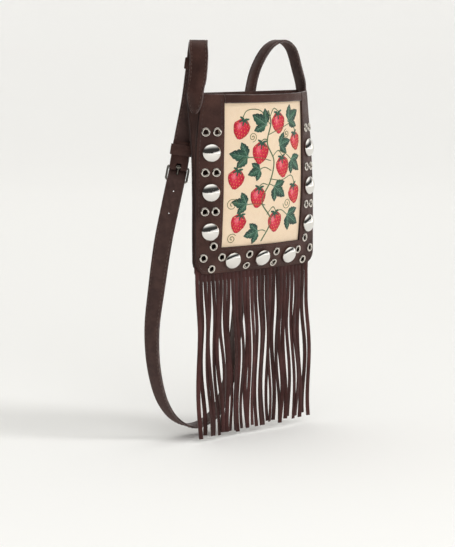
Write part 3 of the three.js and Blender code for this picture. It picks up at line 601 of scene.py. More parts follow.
@dataclass(frozen=True)
class BagForm:
    """Sizes that the bag's pieces share."""

    leather: float = 2.0
    cloth: float = 0.6
    gap: float = 0.3
    window_top: float = -58.4
    window_bottom: float = -199.7
    window_half_top: float = 53.0
    window_half_bottom: float = 51.2
    inside: tuple[float, float, float] = (0.0, -4.0, -140.0)
    front: Wall = Wall(
        rows=(
            WallRow(-46.0, -72.5, -9.0, 70.5, -1.5, 24.0),
            WallRow(-76.5, -75.5, -7.0, 72.5, -3.0, 24.0),
            WallRow(-106.5, -77.2, -5.5, 74.5, -4.5, 22.5),
            WallRow(-146.5, -77.5, -5.0, 76.0, -6.0, 20.0),
            WallRow(-176.5, -77.5, -5.0, 76.5, -6.0, 16.5),
            WallRow(-201.5, -77.5, -5.0, 76.5, -6.0, 12.0),
            WallRow(-212.5, -77.5, -5.0, 76.5, -6.0, 8.5),
            WallRow(-219.5, -77.5, -5.0, 76.5, -6.0, 5.0),
            WallRow(-225.5, -77.5, -5.0, 76.5, -6.0, 1.0),
        ),
        facing=-1,
        top=-48.8,
        sag=1.5,
    )
    back: Wall = Wall(
        rows=(
            WallRow(-46.0, -80.0, 7.0, 74.0, 15.5, 0.5),
            WallRow(-76.5, -78.0, 6.0, 74.5, 11.0, 3.0),
            WallRow(-106.5, -76.2, 4.5, 75.2, 7.0, 5.0),
            WallRow(-146.5, -75.5, 4.0, 76.0, 4.0, 6.0),
            WallRow(-201.5, -75.5, 4.0, 76.5, 4.0, 4.0),
            WallRow(-225.5, -75.5, 4.0, 76.5, 4.0, 1.5),
        ),
        facing=1,
        top=-48.6,
    )

    def window_half(self, z: Values) -> np.ndarray:
        """Return the window's half-width, for each height."""
        t = (self.window_top - np.asarray(z, float)) / (self.window_top - self.window_bottom)
        return self.window_half_top + (self.window_half_bottom - self.window_half_top) * t


def mapped_grid(bm: BMesh, places: np.ndarray) -> list[BMFace]:
    """Add a grid of squares with its corners at the given places.

    Args:
        bm: The bmesh to add to.
        places: Points in millimetres, by row and column.

    Returns:
        The faces, row by row.
    """
    rows, cols = places.shape[:2]
    known = len(bm.faces)
    made = bmesh.ops.create_grid(bm, x_segments=cols - 1, y_segments=rows - 1, size=0.5)
    for vert, place in zip(made["verts"], places.reshape(-1, 3), strict=True):
        vert.co = Vector(place) * MM
    bm.faces.ensure_lookup_table()
    return list(bm.faces[known:])


def closed_tube(bm: BMesh, rings: np.ndarray, endless: bool = False) -> list[BMFace]:
    """Add a tube through rings of points, with filled ends or joined into a loop.

    Args:
        bm: The bmesh to add to.
        rings: Points in millimetres, by ring and place on the ring.
        endless: Whether the last ring goes on to the first.

    Returns:
        The faces along the tube, ring by ring.
    """
    rings = np.concatenate([rings, rings[:, :1]], 1)
    if endless:
        rings = np.concatenate([rings, rings[:1]], 0)
    faces = mapped_grid(bm, rings)
    verts = list(dict.fromkeys(vert for face in faces for vert in face.verts))
    bmesh.ops.remove_doubles(bm, verts=verts, dist=1e-7)
    faces = [face for face in faces if face.is_valid]
    if not endless:
        edges = list(dict.fromkeys(edge for face in faces for edge in face.edges if edge.is_boundary))
        bmesh.ops.holes_fill(bm, edges=edges, sides=0)
    return faces


def face_away(bm: BMesh, inside: tuple[float, float, float]) -> None:
    """Turn an open sheet so that it looks away from a place inside the bag.

    Args:
        bm: The sheet.
        inside: The place, in millimetres.
    """
    bmesh.ops.recalc_face_normals(bm, faces=bm.faces)
    middle = Vector(inside) * MM
    looks = sum(face.normal.dot(face.calc_center_median() - middle) * face.calc_area() for face in bm.faces)
    if looks < 0:
        bmesh.ops.reverse_faces(bm, faces=bm.faces)


def meshed(name: str, bm: BMesh) -> Mesh:
    """Turn a bmesh into a mesh.

    Args:
        name: The mesh's name.
        bm: The bmesh, which is used up.

    Returns:
        The mesh.
    """
    mesh = bpy.data.meshes.new(name)
    bm.to_mesh(mesh)
    bm.free()
    return mesh


def linked(name: str, data: ID) -> Object:
    """Put an object in the scene.

    Args:
        name: The object's name.
        data: Its mesh, light or camera.

    Returns:
        The object.
    """
    thing = bpy.data.objects.new(name, data)
    bpy.context.scene.collection.objects.link(thing)
    return thing


def finished(
    name: str,
    bm: BMesh,
    materials: Sequence[Material],
    replaces: Sequence[str] = (),
    crease: float = 42.0,
) -> Object:
    """Turn a bmesh into a piece of the bag.

    Args:
        name: The piece's name.
        bm: Its mesh, which is used up.
        materials: Its materials, in the order of the faces' numbers.
        replaces: The solids that it stands for.
        crease: The angle in degrees from which an edge is drawn sharp.

    Returns:
        The piece.
    """
    for face in bm.faces:
        face.smooth = True
    for edge in bm.edges:
        edge.smooth = edge.calc_face_angle(0.0) < math.radians(crease)
    return placed(name, meshed(name, bm), materials, replaces)


def placed(
    name: str,
    mesh: Mesh,
    materials: Sequence[Material],
    replaces: Sequence[str] = (),
) -> Object:
    """Put a mesh in the scene as a piece that rides on the bag.

    Args:
        name: The piece's name.
        mesh: Its mesh.
        materials: Its materials.
        replaces: The solids that it stands for.

    Returns:
        The piece.
    """
    for material in materials:
        mesh.materials.append(material)
    piece = linked(name, mesh)
    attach(piece, BODY)
    if replaces:
        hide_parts(*replaces)
    LOG.info("%s: %d faces", name, len(mesh.polygons))
    return piece


def bake(piece: Object) -> None:
    """Replace a piece's mesh by what its modifiers make of it.

    Args:
        piece: The piece.
    """
    ready = piece.evaluated_get(bpy.context.evaluated_depsgraph_get())
    mesh = bpy.data.meshes.new_from_object(ready)
    piece.modifiers.clear()
    piece.data = mesh


def thicken(piece: Object, wall: float, round_edge: float, painted: bool = False) -> None:
    """Give a sheet its thickness behind the face and round its cut edges.

    Args:
        piece: The sheet, with its materials in the order of Hide.
        wall: Its thickness in millimetres.
        round_edge: The width of the rounding in millimetres.
        painted: Whether the cut edge and the rounding take the pale, glossy edge paint, which along the top
            edge is also a painted highlight.
    """
    solid = piece.modifiers.new("wall", "SOLIDIFY")
    solid.thickness, solid.offset = wall * MM, -1.0
    solid.use_even_offset = True
    solid.material_offset = Hide.FLESH
    solid.material_offset_rim = Hide.PAINT if painted else Hide.EDGE
    bevel = piece.modifiers.new("round_edge", "BEVEL")
    bevel.width, bevel.segments, bevel.profile = round_edge * MM, 3, 0.5
    bevel.limit_method, bevel.angle_limit = "ANGLE", math.radians(50)
    bevel.material = Hide.PAINT if painted else -1


def drill(piece: Object, cutters: BMesh) -> None:
    """Cut closed shapes out of a piece.

    Args:
        piece: The piece, whose modifiers are made final first.
        cutters: The shapes, which are used up.
    """
    mesh = meshed("cutters", cutters)
    tool = linked("cutters", mesh)
    cut = piece.modifiers.new("cut", "BOOLEAN")
    cut.operation, cut.solver, cut.object = "DIFFERENCE", "EXACT", tool
    bpy.context.view_layer.update()
    bake(piece)
    bpy.data.objects.remove(tool)
    bpy.data.meshes.remove(mesh)


def aim(place: Sequence[float], direction: Sequence[float]) -> Matrix:
    """Return the matrix that sets something made along +Z at a place, turned to a direction.

    Args:
        place: The place in millimetres.
        direction: The direction.

    Returns:
        The matrix, in metres.
    """
    turn = Vector((0, 0, 1)).rotation_difference(Vector(direction)).to_matrix().to_4x4()
    return Matrix.Translation(Vector(place) * MM) @ turn


def round_cutters(holes: Sequence[tuple[np.ndarray, np.ndarray, float, float]], sides: int) -> BMesh:
    """Make the shapes that cut round holes.

    Args:
        holes: Place, direction, radius and depth of each hole, in millimetres.
        sides: How many sides each has.

    Returns:
        The shapes.
    """
    cutters = bmesh.new()
    for place, way, radius, depth in holes:
        bmesh.ops.create_cone(
            cutters,
            cap_ends=True,
            segments=sides,
            radius1=radius * MM,
            radius2=radius * MM,
            depth=depth * MM,
            matrix=aim(place, way),
        )
    return cutters


def spun(
    bm: BMesh, profile: Sequence[tuple[float, float]], matrix: Matrix, steps: int, closed: bool
) -> None:
    """Add a round shape, turned about its axis.

    Args:
        bm: The bmesh to add to.
        profile: Radius and height of the profile's points, in millimetres.
        matrix: Where the shape goes.
        steps: How many steps go round.
        closed: Whether the profile closes on itself.
    """
    verts = [bm.verts.new((radius * MM, 0, height * MM)) for radius, height in profile]
    pairs = list(zip(verts, verts[1:]))
    if closed:
        pairs.append((verts[-1], verts[0]))
    edges = [bm.edges.new(pair) for pair in pairs]
    known = set(bm.verts) - set(verts)
    turn = {"cent": (0, 0, 0), "axis": (0, 0, 1), "angle": 2 * math.pi, "steps": steps, "use_merge": True}
    bmesh.ops.spin(bm, geom=verts + edges, **turn)
    fresh = [vert for vert in bm.verts if vert not in known]
    bmesh.ops.remove_doubles(bm, verts=fresh, dist=1e-6)
    fresh = [vert for vert in bm.verts if vert not in known]
    faces = list(dict.fromkeys(face for vert in fresh for face in vert.link_faces))
    bmesh.ops.recalc_face_normals(bm, faces=faces)
    bmesh.ops.transform(bm, matrix=matrix, verts=fresh)


class Stitches:
    """Stitches gathered for one joined mesh, each a small arched bundle of thread between two points."""

    def __init__(self) -> None:
        """Start with no stitch."""
        self.rows: list[tuple[Sequence[float], ...]] = []

    def add(self, *row: Sequence[float]) -> None:
        """Add a stitch by its start, end, direction off the ground, width with height, and linear colour."""
        self.rows.append(row)

    @staticmethod
    def template() -> tuple[np.ndarray, list[list[int]]]:
        """Make one stitch of unit size, round on top, with ends that dip.

        Returns:
            Its points as shares of length, width and height, and its faces.
        """
        bm = bmesh.new()
        bmesh.ops.create_grid(bm, x_segments=4, y_segments=3, size=0.5)
        for vert in bm.verts:
            along, across = vert.co.x, vert.co.y
            dip = 1 - (2 * abs(along)) ** 6
            vert.co.y = across * (0.55 + 0.45 * dip)
            vert.co.z = (1 - (2 * abs(across)) ** 2) * (0.25 + 0.75 * dip) - 0.3 * (1 - dip) - 0.12
        bm.verts.index_update()
        points = np.array([vert.co[:] for vert in bm.verts])
        points[:, 0] += 0.5
        faces = [[vert.index for vert in face.verts] for face in bm.faces]
        bm.free()
        return points, faces

    def piece(self, name: str, material: Material, slot: Slot) -> Object:
        """Join the stitches into one piece.

        Args:
            name: The piece's name.
            material: The thread.
            slot: The material slot for its finish; not used.

        Returns:
            The piece.
        """
        points, faces = self.template()
        starts, ends, normals, sizes, dyes = (np.array(column, float) for column in zip(*self.rows))
        normals = unit(normals)
        runs = ends - starts
        sides = unit(np.cross(normals, runs))
        lengths = np.linalg.norm(runs, axis=1)
        places = (
            starts[:, None]
            + runs[:, None] * points[None, :, :1]
            + sides[:, None] * (points[None, :, 1:2] * sizes[:, None, :1])
            + normals[:, None] * (points[None, :, 2:] * sizes[:, None, 1:])
        )
        count = len(points)
        joined = [[corner + k * count for corner in face] for k in range(len(starts)) for face in faces]
        mesh = bpy.data.meshes.new(name)
        mesh.from_pydata((places.reshape(-1, 3) * MM).tolist(), [], joined)
        mesh.shade_smooth()
        dye = mesh.color_attributes.new(DYE, "FLOAT_COLOR", "POINT")
        dye.data.foreach_set("color", np.repeat(dyes, count, 0).ravel())
        along = mesh.uv_layers.new(name=STITCH_MAP)
        shares = np.stack([points[:, 0] * lengths[:, None], points[:, 1] * sizes[:, :1]], -1)
        along.data.foreach_set("uv", shares.reshape(-1, 2)[np.array(joined).ravel()].ravel())
        return placed(name, mesh, [material])


@dataclass
class LeatherBody:
    """The bag's leather walls: front frame, top band, back and gusset."""

    form: BagForm
    finishes: Finishes
    seam_inset: float = 2.6
    seam_pitch: float = 4.2
    seam_stitch: float = 3.2
    seam_size: tuple[float, float] = (0.75, 0.35)
    seam_colour: str = "#463430"
    seam_step: float = 2.0
    window_seam: tuple[int, int] = (200, 150)
    gusset_inset: float = 0.8
    gusset_seam: float = 2.35
    gusset_sag: float = 0.9
    gusset_round: float = 0.3
    gusset_step: float = 4.0
    gusset_columns: int = 9
    side_run: float = 165.0
    bottom_run: float = 128.0
    corner_steps: int = 8
    least_rows: int = 2
    frame_step: float = 3.5
    strip_columns: int = 8
    window_columns: int = 30
    band_grid: tuple[int, int] = (5, 33)
    back_step: float = 5.0
    back_columns: int = 37
    round_edge: float = 0.85
    hole_depth: float = 8.0
    hole_sides: int = 20

    def build(self, eyelets: Sequence[tuple[np.ndarray, np.ndarray]], bore: float) -> None:
        """Build the walls and their seams.

        Args:
            eyelets: Place and direction of each eyelet.
            bore: Radius of the holes for them.
        """
        self.front_frame(eyelets, bore)
        self.top_band()
        self.back_panel()
        self.gusset()
        self.seams()

    def heights(self, wall: Wall, marks: Sequence[float], step: float) -> np.ndarray:
        """Return the heights of a wall's rows.

        Args:
            wall: The wall.
            marks: Heights that have a row of their own, from the top down.
            step: The largest distance between rows.

        Returns:
            The heights, from the top down, closer in the round corners.
        """
        stops = [*marks, wall.bottom + wall.corner]
        rows = []
        for high, low in zip(stops, stops[1:]):
            count = max(self.least_rows, math.ceil((high - low) / step))
            rows.append(np.linspace(high, low, count + 1)[:-1])
        turn = np.linspace(0, math.pi / 2, self.corner_steps + 1)
        return np.concatenate([*rows, wall.bottom + wall.corner * (1 - np.sin(turn))])

    def rippled(self, wall: Wall, x: np.ndarray, z: np.ndarray) -> np.ndarray:
        """Return points of a wall with the slight ripple of soft leather.

        Args:
            wall: The wall.
            x: Places across.
            z: Heights.

        Returns:
            One point for each x and z.
        """
        slow = 0.1 * np.sin(x / 11 + z / 17)
        quick = 0.07 * np.sin(x / 5.3 - z / 9.1 + 1.3)
        return wall.at(x, z) + wall.outward(x, z) * (slow + quick)[..., None]

    def walled(self, node: str, sheet: BMesh, round_edge: float, painted: bool = False) -> Object:
        """Turn an open sheet into a piece of leather.

        Args:
            node: The solid that it stands for.
            sheet: Its outer face, which is used up.
            round_edge: The width of the rounding of its edges.
            painted: Whether the edges take the pale edge paint, which along the top edge is also a painted
                highlight.

        Returns:
            The piece.
        """
        face_away(sheet, self.form.inside)
        stuff = self.finishes
        hide = [stuff.leather, stuff.flesh, stuff.dyed_edge, stuff.edge]
        piece = finished(f"{node}_leather", sheet, hide, [node])
        thicken(piece, self.form.leather, round_edge, painted)
        return piece

    def front_frame(self, eyelets: Sequence[tuple[np.ndarray, np.ndarray]], bore: float) -> None:
        """Build the side strips and the bottom strip in one, with a painted highlight of pale edge paint
        along the top and holes for the eyelets.

        Args:
            eyelets: Place and direction of each eyelet.
            bore: Radius of the holes.
        """
        form, wall = self.form, self.form.front
        marks = [wall.top, wall.top - self.round_edge, form.window_top, form.window_bottom]
        z = self.heights(wall, marks, self.frame_step)[:, None]
        left, right = wall.edges(z)
        half = form.window_half(z)
        strip = np.linspace(0, 1, self.strip_columns + 1)
        middle = np.linspace(0, 1, self.window_columns + 1)[:-1]
        near, far = left + (-half - left) * strip[:-1], half + (right - half) * strip
        x = np.concatenate([near, -half + 2 * half * middle, far], 1)
        bm = bmesh.new()
        faces = mapped_grid(bm, self.rippled(wall, x, np.broadcast_to(z, x.shape)))
        across = x.shape[1] - 1
        # The top rows take the pale, glossy edge paint: a painted highlight along the top edge.
        for face in faces[: self.least_rows * across]:
            face.material_index = Hide.PAINT
        window = range(self.strip_columns, self.strip_columns + self.window_columns)
        opened = [
            face
            for k, face in enumerate(faces)
            if k % across in window and z[k // across, 0] > form.window_bottom + 1e-6
        ]
        bmesh.ops.delete(bm, geom=opened, context="FACES")
        piece = self.walled("front_frame", bm, self.round_edge)
        holes = [(place, way, bore, self.hole_depth) for place, way in eyelets]
        drill(piece, round_cutters(holes, self.hole_sides))

    def top_band(self) -> None:
        """Build the narrow band over the cloth, between the side strips."""
        form, wall = self.form, self.form.front
        rows, columns = self.band_grid
        z = np.linspace(wall.top, form.window_top, rows)[:, None]
        half = form.window_half(z) - form.gap
        x = -half + 2 * half * np.linspace(0, 1, columns)
        bm = bmesh.new()
        mapped_grid(bm, wall.at(x, np.broadcast_to(z, x.shape)))
        # Its edges take the pale edge paint, which paints the highlight along the top edge.
        self.walled("top_band", bm, self.round_edge, painted=True)

    def back_panel(self) -> None:
        """Build the plain back wall."""
        wall = self.form.back
        z = self.heights(wall, [wall.top], self.back_step)[:, None]
        left, right = wall.edges(z)
        x = left + (right - left) * np.linspace(0, 1, self.back_columns)
        bm = bmesh.new()
        mapped_grid(bm, self.rippled(wall, x, np.broadcast_to(z, x.shape)))
        self.walled("back_panel", bm, self.round_edge)

    def outline(self, wall: Wall, step: float) -> tuple[np.ndarray, np.ndarray]:
        """Follow a wall's edge down the left side, along the bottom and up the right side.

        Args:
            wall: The wall.
            step: The distance between stations on the sides.

        Returns:
            Points on the edge, and the direction into the wall at each.
        """
        low = wall.bottom + wall.corner
        straight = np.linspace(wall.top, low, math.ceil(self.side_run / step))[:-1]
        turn = np.linspace(0, math.pi / 2, self.corner_steps + 1)
        curve = wall.bottom + wall.corner * (1 - np.sin(turn))
        bottom = np.linspace(0, 1, math.ceil(self.bottom_run / step))[1:-1]
        sides = []
        for side, name in ((Side.LEFT, "left_x"), (Side.RIGHT, "right_x")):
            z = np.concatenate([straight, curve])
            inward = np.concatenate([np.zeros_like(straight), turn])
            x = wall.column(name, z) - side.value * wall.inset(z)
            into = np.stack([-side.value * np.cos(inward), np.zeros_like(z), np.sin(inward)], -1)
            sides.append((np.stack([x, z], -1), into))
        (left, left_in), (right, right_in) = sides
        along = left[-1] + (right[-1] - left[-1]) * bottom[:, None]
        flat = np.concatenate([left, along, right[::-1]])
        into = np.concatenate([left_in, np.tile([0.0, 0.0, 1.0], (len(along), 1)), right_in[::-1]])
        return wall.at(flat[:, 0], flat[:, 1]), into

    def gusset(self) -> None:
        """Build the strip round the sides and the bottom, drawn in a little between its seams."""
        front, front_in = self.outline(self.form.front, self.gusset_step)
        back, back_in = self.outline(self.form.back, self.gusset_step)
        near = front + front_in * self.gusset_inset + [0, self.gusset_seam, 0]
        far = back + back_in * self.gusset_inset - [0, self.gusset_seam, 0]
        t = np.linspace(0, 1, self.gusset_columns)[None, :, None]
        sag = self.gusset_sag * 4 * t * (1 - t)
        bm = bmesh.new()
        mapped_grid(bm, near[:, None] * (1 - t) + far[:, None] * t + front_in[:, None] * sag)
        self.walled("gusset", bm, self.gusset_round)

    def seams(self) -> None:
        """Sew tonal seams round the front's outer edge, the back's edge and the window."""
        form = self.form
        stitches = Stitches()
        for wall in (form.front, form.back):
            edge, into = self.outline(wall, self.seam_step)
            line = edge + into * self.seam_inset
            self.sew(stitches, wall, line[:, 0], line[:, 2])
        down, across = self.window_seam
        z = np.linspace(form.front.top - 2, form.window_bottom - self.seam_inset, down)
        half = form.window_half(z) + self.seam_inset
        base = np.linspace(-half[-1], half[-1], across)
        for x_line, z_line in ((-half, z), (half, z), (base, np.full_like(base, z[-1]))):
            self.sew(stitches, form.front, x_line, z_line)
        stitches.piece("body_seams", self.finishes.seam, Slot.LEATHER)

    def sew(self, stitches: Stitches, wall: Wall, x: np.ndarray, z: np.ndarray) -> None:
        """Sew a row of stitches along a line on a wall.

        Args:
            stitches: Where the stitches go.
            wall: The wall.
            x: The line's places across.
            z: The line's heights.
        """
        dye = linear(self.seam_colour)
        run = run_length(wall.at(x, z))
        for start in np.arange(self.seam_pitch / 2, run[-1] - self.seam_pitch, self.seam_pitch):
            ends = np.array([start, start + self.seam_stitch])
            spots = wall.at(np.interp(ends, run, x), np.interp(ends, run, z))
            normal = wall.outward(np.interp(start, run, x), np.interp(start, run, z))
            stitches.add(spots[0], spots[1], normal, self.seam_size, dye)


class StrapRow(NamedTuple):
    """Middle of the strap and the facing of its width in degrees."""

    x: float
    y: float
    z: float
    facing: float


class StrapSpots(NamedTuple):
    """Places along the strap with their directions."""

    place: np.ndarray
    along: np.ndarray
    across: np.ndarray
    grain: np.ndarray


STRAP_ROWS = (
    StrapRow(-74.7, -4.2, -36, -57),
    StrapRow(-72.3, -3.9, -14, -50),
    StrapRow(-70.4, -0.6, -2.6, -47),
    StrapRow(-66.0, 4.6, 1.2, -46),
    StrapRow(-62.5, 10.6, -3.4, -45),
    StrapRow(-61.6, 15.0, -20, -43),
    StrapRow(-65.0, 19.0, -58, -42),
    StrapRow(-73.0, 21.0, -95.7, -40),
    StrapRow(-78.6, 22.2, -126, -40),
    StrapRow(-86.0, 24.0, -158, -42),
    StrapRow(-93.6, 26.0, -192, -48),
    StrapRow(-101.0, 28.3, -241, -64),
    StrapRow(-105.6, 29.8, -281, -75),
    StrapRow(-103.1, 29.9, -321, -82),
    StrapRow(-92.5, 30.0, -355, -88),
    StrapRow(-78.5, 28.4, -374, -92),
    StrapRow(-60.2, 27.0, -383.5, -95),
    StrapRow(-42.5, 26.0, -382, -96),
    StrapRow(-27.5, 25.2, -373, -95),
    StrapRow(-14.5, 25.0, -352, -94),
    StrapRow(-1.1, 25.0, -291, -92),
    StrapRow(5.5, 25.0, -209, -92),
    StrapRow(10.6, 25.0, -128, -94),
    StrapRow(16.0, 23.9, -52, -98),
    StrapRow(23.0, 20.7, -22.8, -98),
    StrapRow(34.6, 15.0, -3.6, -96),
    StrapRow(46.4, 11.0, 1.2, -95),
    StrapRow(57.0, 9.0, -5.4, -96),
    StrapRow(66.0, 8.4, -27, -98),
)


@dataclass
class Strap:
    """The strap: two pieces of leather along one line, with buckle and keepers."""

    form: BagForm
    finishes: Finishes
    width: float = 18.0
    thick: float = 2.4
    layer_gap: float = 0.35
    tongue_levels: tuple[float, float, float] = (-68.5, -58.0, -44.5)
    tongue_length: float = 21.0
    tip_half: float = 0.7
    forward: dict[Side, float] = field(default_factory=lambda: {Side.LEFT: 2.7, Side.RIGHT: -6.5})
    bar_z: float = -120.0
    pitch: float = 14.0
    frame_half: float = 10.35
    wire: float = 1.0
    frame_corner: float = 2.0
    clear: float = 0.45
    fold_tail: float = 27.0
    layer_start: float = 45.0
    layer_end: float = 27.0
    layer_offset: float = 1.4
    fold_start: float = 12.0
    under_run: float = 42.0
    prong: float = 0.9
    prong_ring: float = 2.6
    prong_bore: float = 1.3
    prong_half: float = 1.6
    prong_over: float = 2.2
    slot_half: float = 2.4
    slot_length: float = 7.4
    slot_shift: float = 0.5
    prong_hole: float = 1.7
    hole: float = 0.6
    hole_pitch: float = 22.0
    hole_start: float = 24.3
    hole_steps: tuple[int, ...] = (-3, 0, 1)
    hole_sides: int = 24
    keeper_wall: float = 1.1
    keeper_height: float = 10.5
    keeper_clear: float = 0.35
    keeper_above: float = 16.5
    crest_keeper_z: float = -20.0
    free_end: float = 12.0
    edge_round: float = 0.9
    seam_inset: float = 2.2
    seam_pitch: float = 4.0
    seam_stitch: float = 3.0
    seam_size: tuple[float, float] = (0.65, 0.4)
    seam_ends: float = 2.5
    seam_colour: str = "#5F4C45"
    crease: float = 0.22
    per_row: int = 24

    def __post_init__(self) -> None:
        """Measure the strap's middle line and the places on it."""
        seats = {side: [self.seat(side, z) for z in self.tongue_levels] for side in Side}
        rows = np.array([*seats[Side.LEFT], *STRAP_ROWS, *reversed(seats[Side.RIGHT])])
        per_row = self.per_row
        self.points = self.curve(rows[:, :3], per_row)
        self.lengths = run_length(self.points)
        facing = np.interp(np.arange(len(self.points)) / per_row, np.arange(len(rows)), rows[:, 3])
        padded = np.pad(facing, per_row // 2, mode="edge")
        self.facing = np.convolve(padded, np.ones(per_row + 1) / (per_row + 1), mode="valid")
        self.tangents = unit(np.gradient(self.points, axis=0))
        self.total = float(self.lengths[-1])
        self.bar = self.rear_length(self.bar_z)
        self.crest_keeper = self.rear_length(self.crest_keeper_z)
        self.layer = self.thick + self.layer_gap
        self.fold = self.wire + self.clear + self.thick / 2
        self.over = self.fold + self.thick + self.clear
        self.crossing = math.degrees(math.asin((self.over + self.fold) / self.pitch))
        self.slope = (self.wire + self.prong + self.clear) / self.pitch

    def seat(self, side: Side, z: float) -> StrapRow:
        """Return where the strap's middle lies flat on a gusset.

        Args:
            side: Which gusset.
            z: The height.

        Returns:
            The middle of the strap and the facing of its width.
        """
        name = "left_x" if side is Side.LEFT else "right_x"
        front, back = self.form.front, self.form.back
        near = front.at(front.column(name, z), z)
        far = back.at(back.column(name, z), z)
        across = unit((near - far) * [1, 1, 0])
        away = np.array([side.value * abs(across[1]), -side.value * np.sign(across[1]) * across[0], 0])
        place = (near + far) / 2
        place[2] = z
        proud = max(0.0, float((back.sunk(far[0], z, self.form.leather) - place) @ away))
        place = place + away * (proud + self.form.gap + self.thick / 2) + across * self.forward[side]
        return StrapRow(*place, math.degrees(math.atan2(across[1], across[0])))

    @staticmethod
    def curve(points: np.ndarray, per_row: int) -> np.ndarray:
        """Draw a smooth curve through points, without loops where they stand close together.

        Args:
            points: The points.
            per_row: How many samples lie between two of them.

        Returns:
            The samples.
        """
        line = np.vstack([2 * points[0] - points[1], points, 2 * points[-1] - points[-2]])
        t = np.arange(per_row)[:, None] / per_row
        spans = []
        for a, b, c, d in zip(line, line[1:], line[2:], line[3:]):
            before, here, after = (np.sum((q - p) ** 2) ** 0.25 for p, q in ((a, b), (b, c), (c, d)))
            start = here * ((b - a) / before - (c - a) / (before + here) + (c - b) / here)
            end = here * ((c - b) / here - (d - b) / (here + after) + (d - c) / after)
            rise = c - b
            spans.append(b + t * (start + t * (3 * rise - 2 * start - end + t * (start + end - 2 * rise))))
        return np.vstack([*spans, points[-1:]])

    def rear_length(self, z: float) -> float:
        """Find where the left rear leg passes a height.

        Args:
            z: The height.

        Returns:
            The length along the strap.
        """
        crest = int(np.argmax(self.points[:, 2] > 0))
        below = np.nonzero(self.points[crest:, 2] < z)[0]
        return float(self.lengths[crest + below[0]])

    def spots(self, length: Values) -> StrapSpots:
        """Find places along the strap.

        Args:
            length: Lengths along the strap.

        Returns:
            The place and the directions at each.
        """
        length = np.clip(np.asarray(length, float), 0, self.total)

        def read(values: np.ndarray) -> np.ndarray:
            """Return the values at the lengths."""
            return np.stack([np.interp(length, self.lengths, values[:, k]) for k in range(3)], -1)

        along = unit(read(self.tangents))
        angle = np.radians(np.interp(length, self.lengths, self.facing))
        across = np.stack([np.cos(angle), np.sin(angle), np.zeros_like(angle)], -1)
        across = unit(across - along * np.sum(across * along, -1, keepdims=True))
        return StrapSpots(read(self.points), along, across, np.cross(across, along))

    def main_height(self, length: np.ndarray) -> np.ndarray:
        """Find how far the short piece stands off the line as it nears the buckle.

        Args:
            length: Lengths along the strap.

        Returns:
            The height at each.
        """
        short = self.bar - length
        lift = self.layer_offset * eased((self.layer_start - short) / (self.layer_start - self.layer_end))
        return lift + (self.fold - self.layer_offset) * eased((self.fold_start - short) / self.fold_start)

    @staticmethod
    def stretch(start: float, end: float, step: float, height: Height) -> np.ndarray:
        """Set stations over a stretch of the line, without its end.

        Args:
            start: Where the stretch starts.
            end: Where it ends.
            step: The distance between stations.
            height: The height off the line at a length.

        Returns:
            The length and the height of each station.
        """
        count = max(1, round(abs(end - start) / step))
        length = np.linspace(start, end, count + 1)[:-1]
        return np.stack([length, np.broadcast_to(height(length), length.shape)], -1)

    @staticmethod
    def round_bar(centre: float, radius: float, start: float, end: float, steps: int) -> np.ndarray:
        """Return stations on an arc about a bar, from one angle in degrees to another."""
        angle = np.radians(np.linspace(start, end, steps + 1))
        return np.stack([centre + radius * np.cos(angle), radius * np.sin(angle)], -1)

    def pointed(self, distance: np.ndarray) -> np.ndarray:
        """Return the half-width at distances from a pointed tip."""
        t = np.clip(distance / self.tongue_length, 0, 1)
        return np.maximum(self.tip_half, self.width / 2 * np.sqrt(1 - (1 - t) ** 2))

    def section(self, half: np.ndarray) -> np.ndarray:
        """Return the strap's section, with round edges and a creased line along each edge of the grain side.

        Args:
            half: The half-width at each station.

        Returns:
            Places across and up, by station and point.
        """
        top, low, bend = self.thick / 2, -self.thick / 2, self.edge_round
        side = [
            (bend, low),
            (0.3 * bend, low + 0.3 * bend),
            (0.0, low + bend),
            (0.0, top - bend),
            (0.3 * bend, top - 0.3 * bend),
            (bend, top),
            (1.5, top),
            (1.8, top - self.crease),
            (2.6, top - self.crease),
            (2.9, top),
        ]
        tight = np.minimum(1.0, half / 4.0)[:, None]
        inset = np.array([point[0] for point in side])[None, :] * tight
        height = np.tile([point[1] for point in side], (len(half), 1))
        right = np.stack([half[:, None] - inset, height], -1)
        crown = np.stack([np.zeros(len(half)), np.full(len(half), top + 0.12)], -1)[:, None]
        left = right[:, ::-1] * [-1, 1]
        return np.concatenate([right, crown, left], 1)

    def ribbon(self, stations: np.ndarray, half: np.ndarray) -> BMesh:
        """Make a flat strap through stations.

        Args:
            stations: Lengths along the line and heights off it.
            half: The half-width at each.

        Returns:
            The strap, with grain, flesh side and edges numbered as materials.
        """
        spots = self.spots(stations[:, 0])
        place = spots.place + spots.grain * stations[:, 1:]
        along = unit(np.gradient(place, axis=0))
        side = unit(spots.across - along * np.sum(spots.across * along, -1, keepdims=True))
        up = np.cross(side, along)
        shape = self.section(half)
        rings = place[:, None] + side[:, None] * shape[..., :1] + up[:, None] * shape[..., 1:]
        bm = bmesh.new()
        faces = closed_tube(bm, rings)
        count = shape.shape[1]
        edge_faces = 5
        for k, face in enumerate(faces):
            spot = k % count
            if spot == count - 1:
                face.material_index = Hide.FLESH
            elif spot < edge_faces or count - 2 - edge_faces < spot:
                face.material_index = Hide.EDGE
        bmesh.ops.recalc_face_normals(bm, faces=bm.faces)
        return bm

    def buckle_point(self, along: float, height: float, across: float = 0.0) -> np.ndarray:
        """Return a point at the buckle by its distances from the upper bar."""
        base = self.spots(self.bar + self.pitch / 2)
        return base.place + base.along * (along - self.pitch / 2) + base.grain * height + base.across * across

    def prong_way(self) -> np.ndarray:
        """Return the direction of the prong."""
        return unit(self.buckle_point(1.0, self.slope) - self.buckle_point(0.0, 0.0))

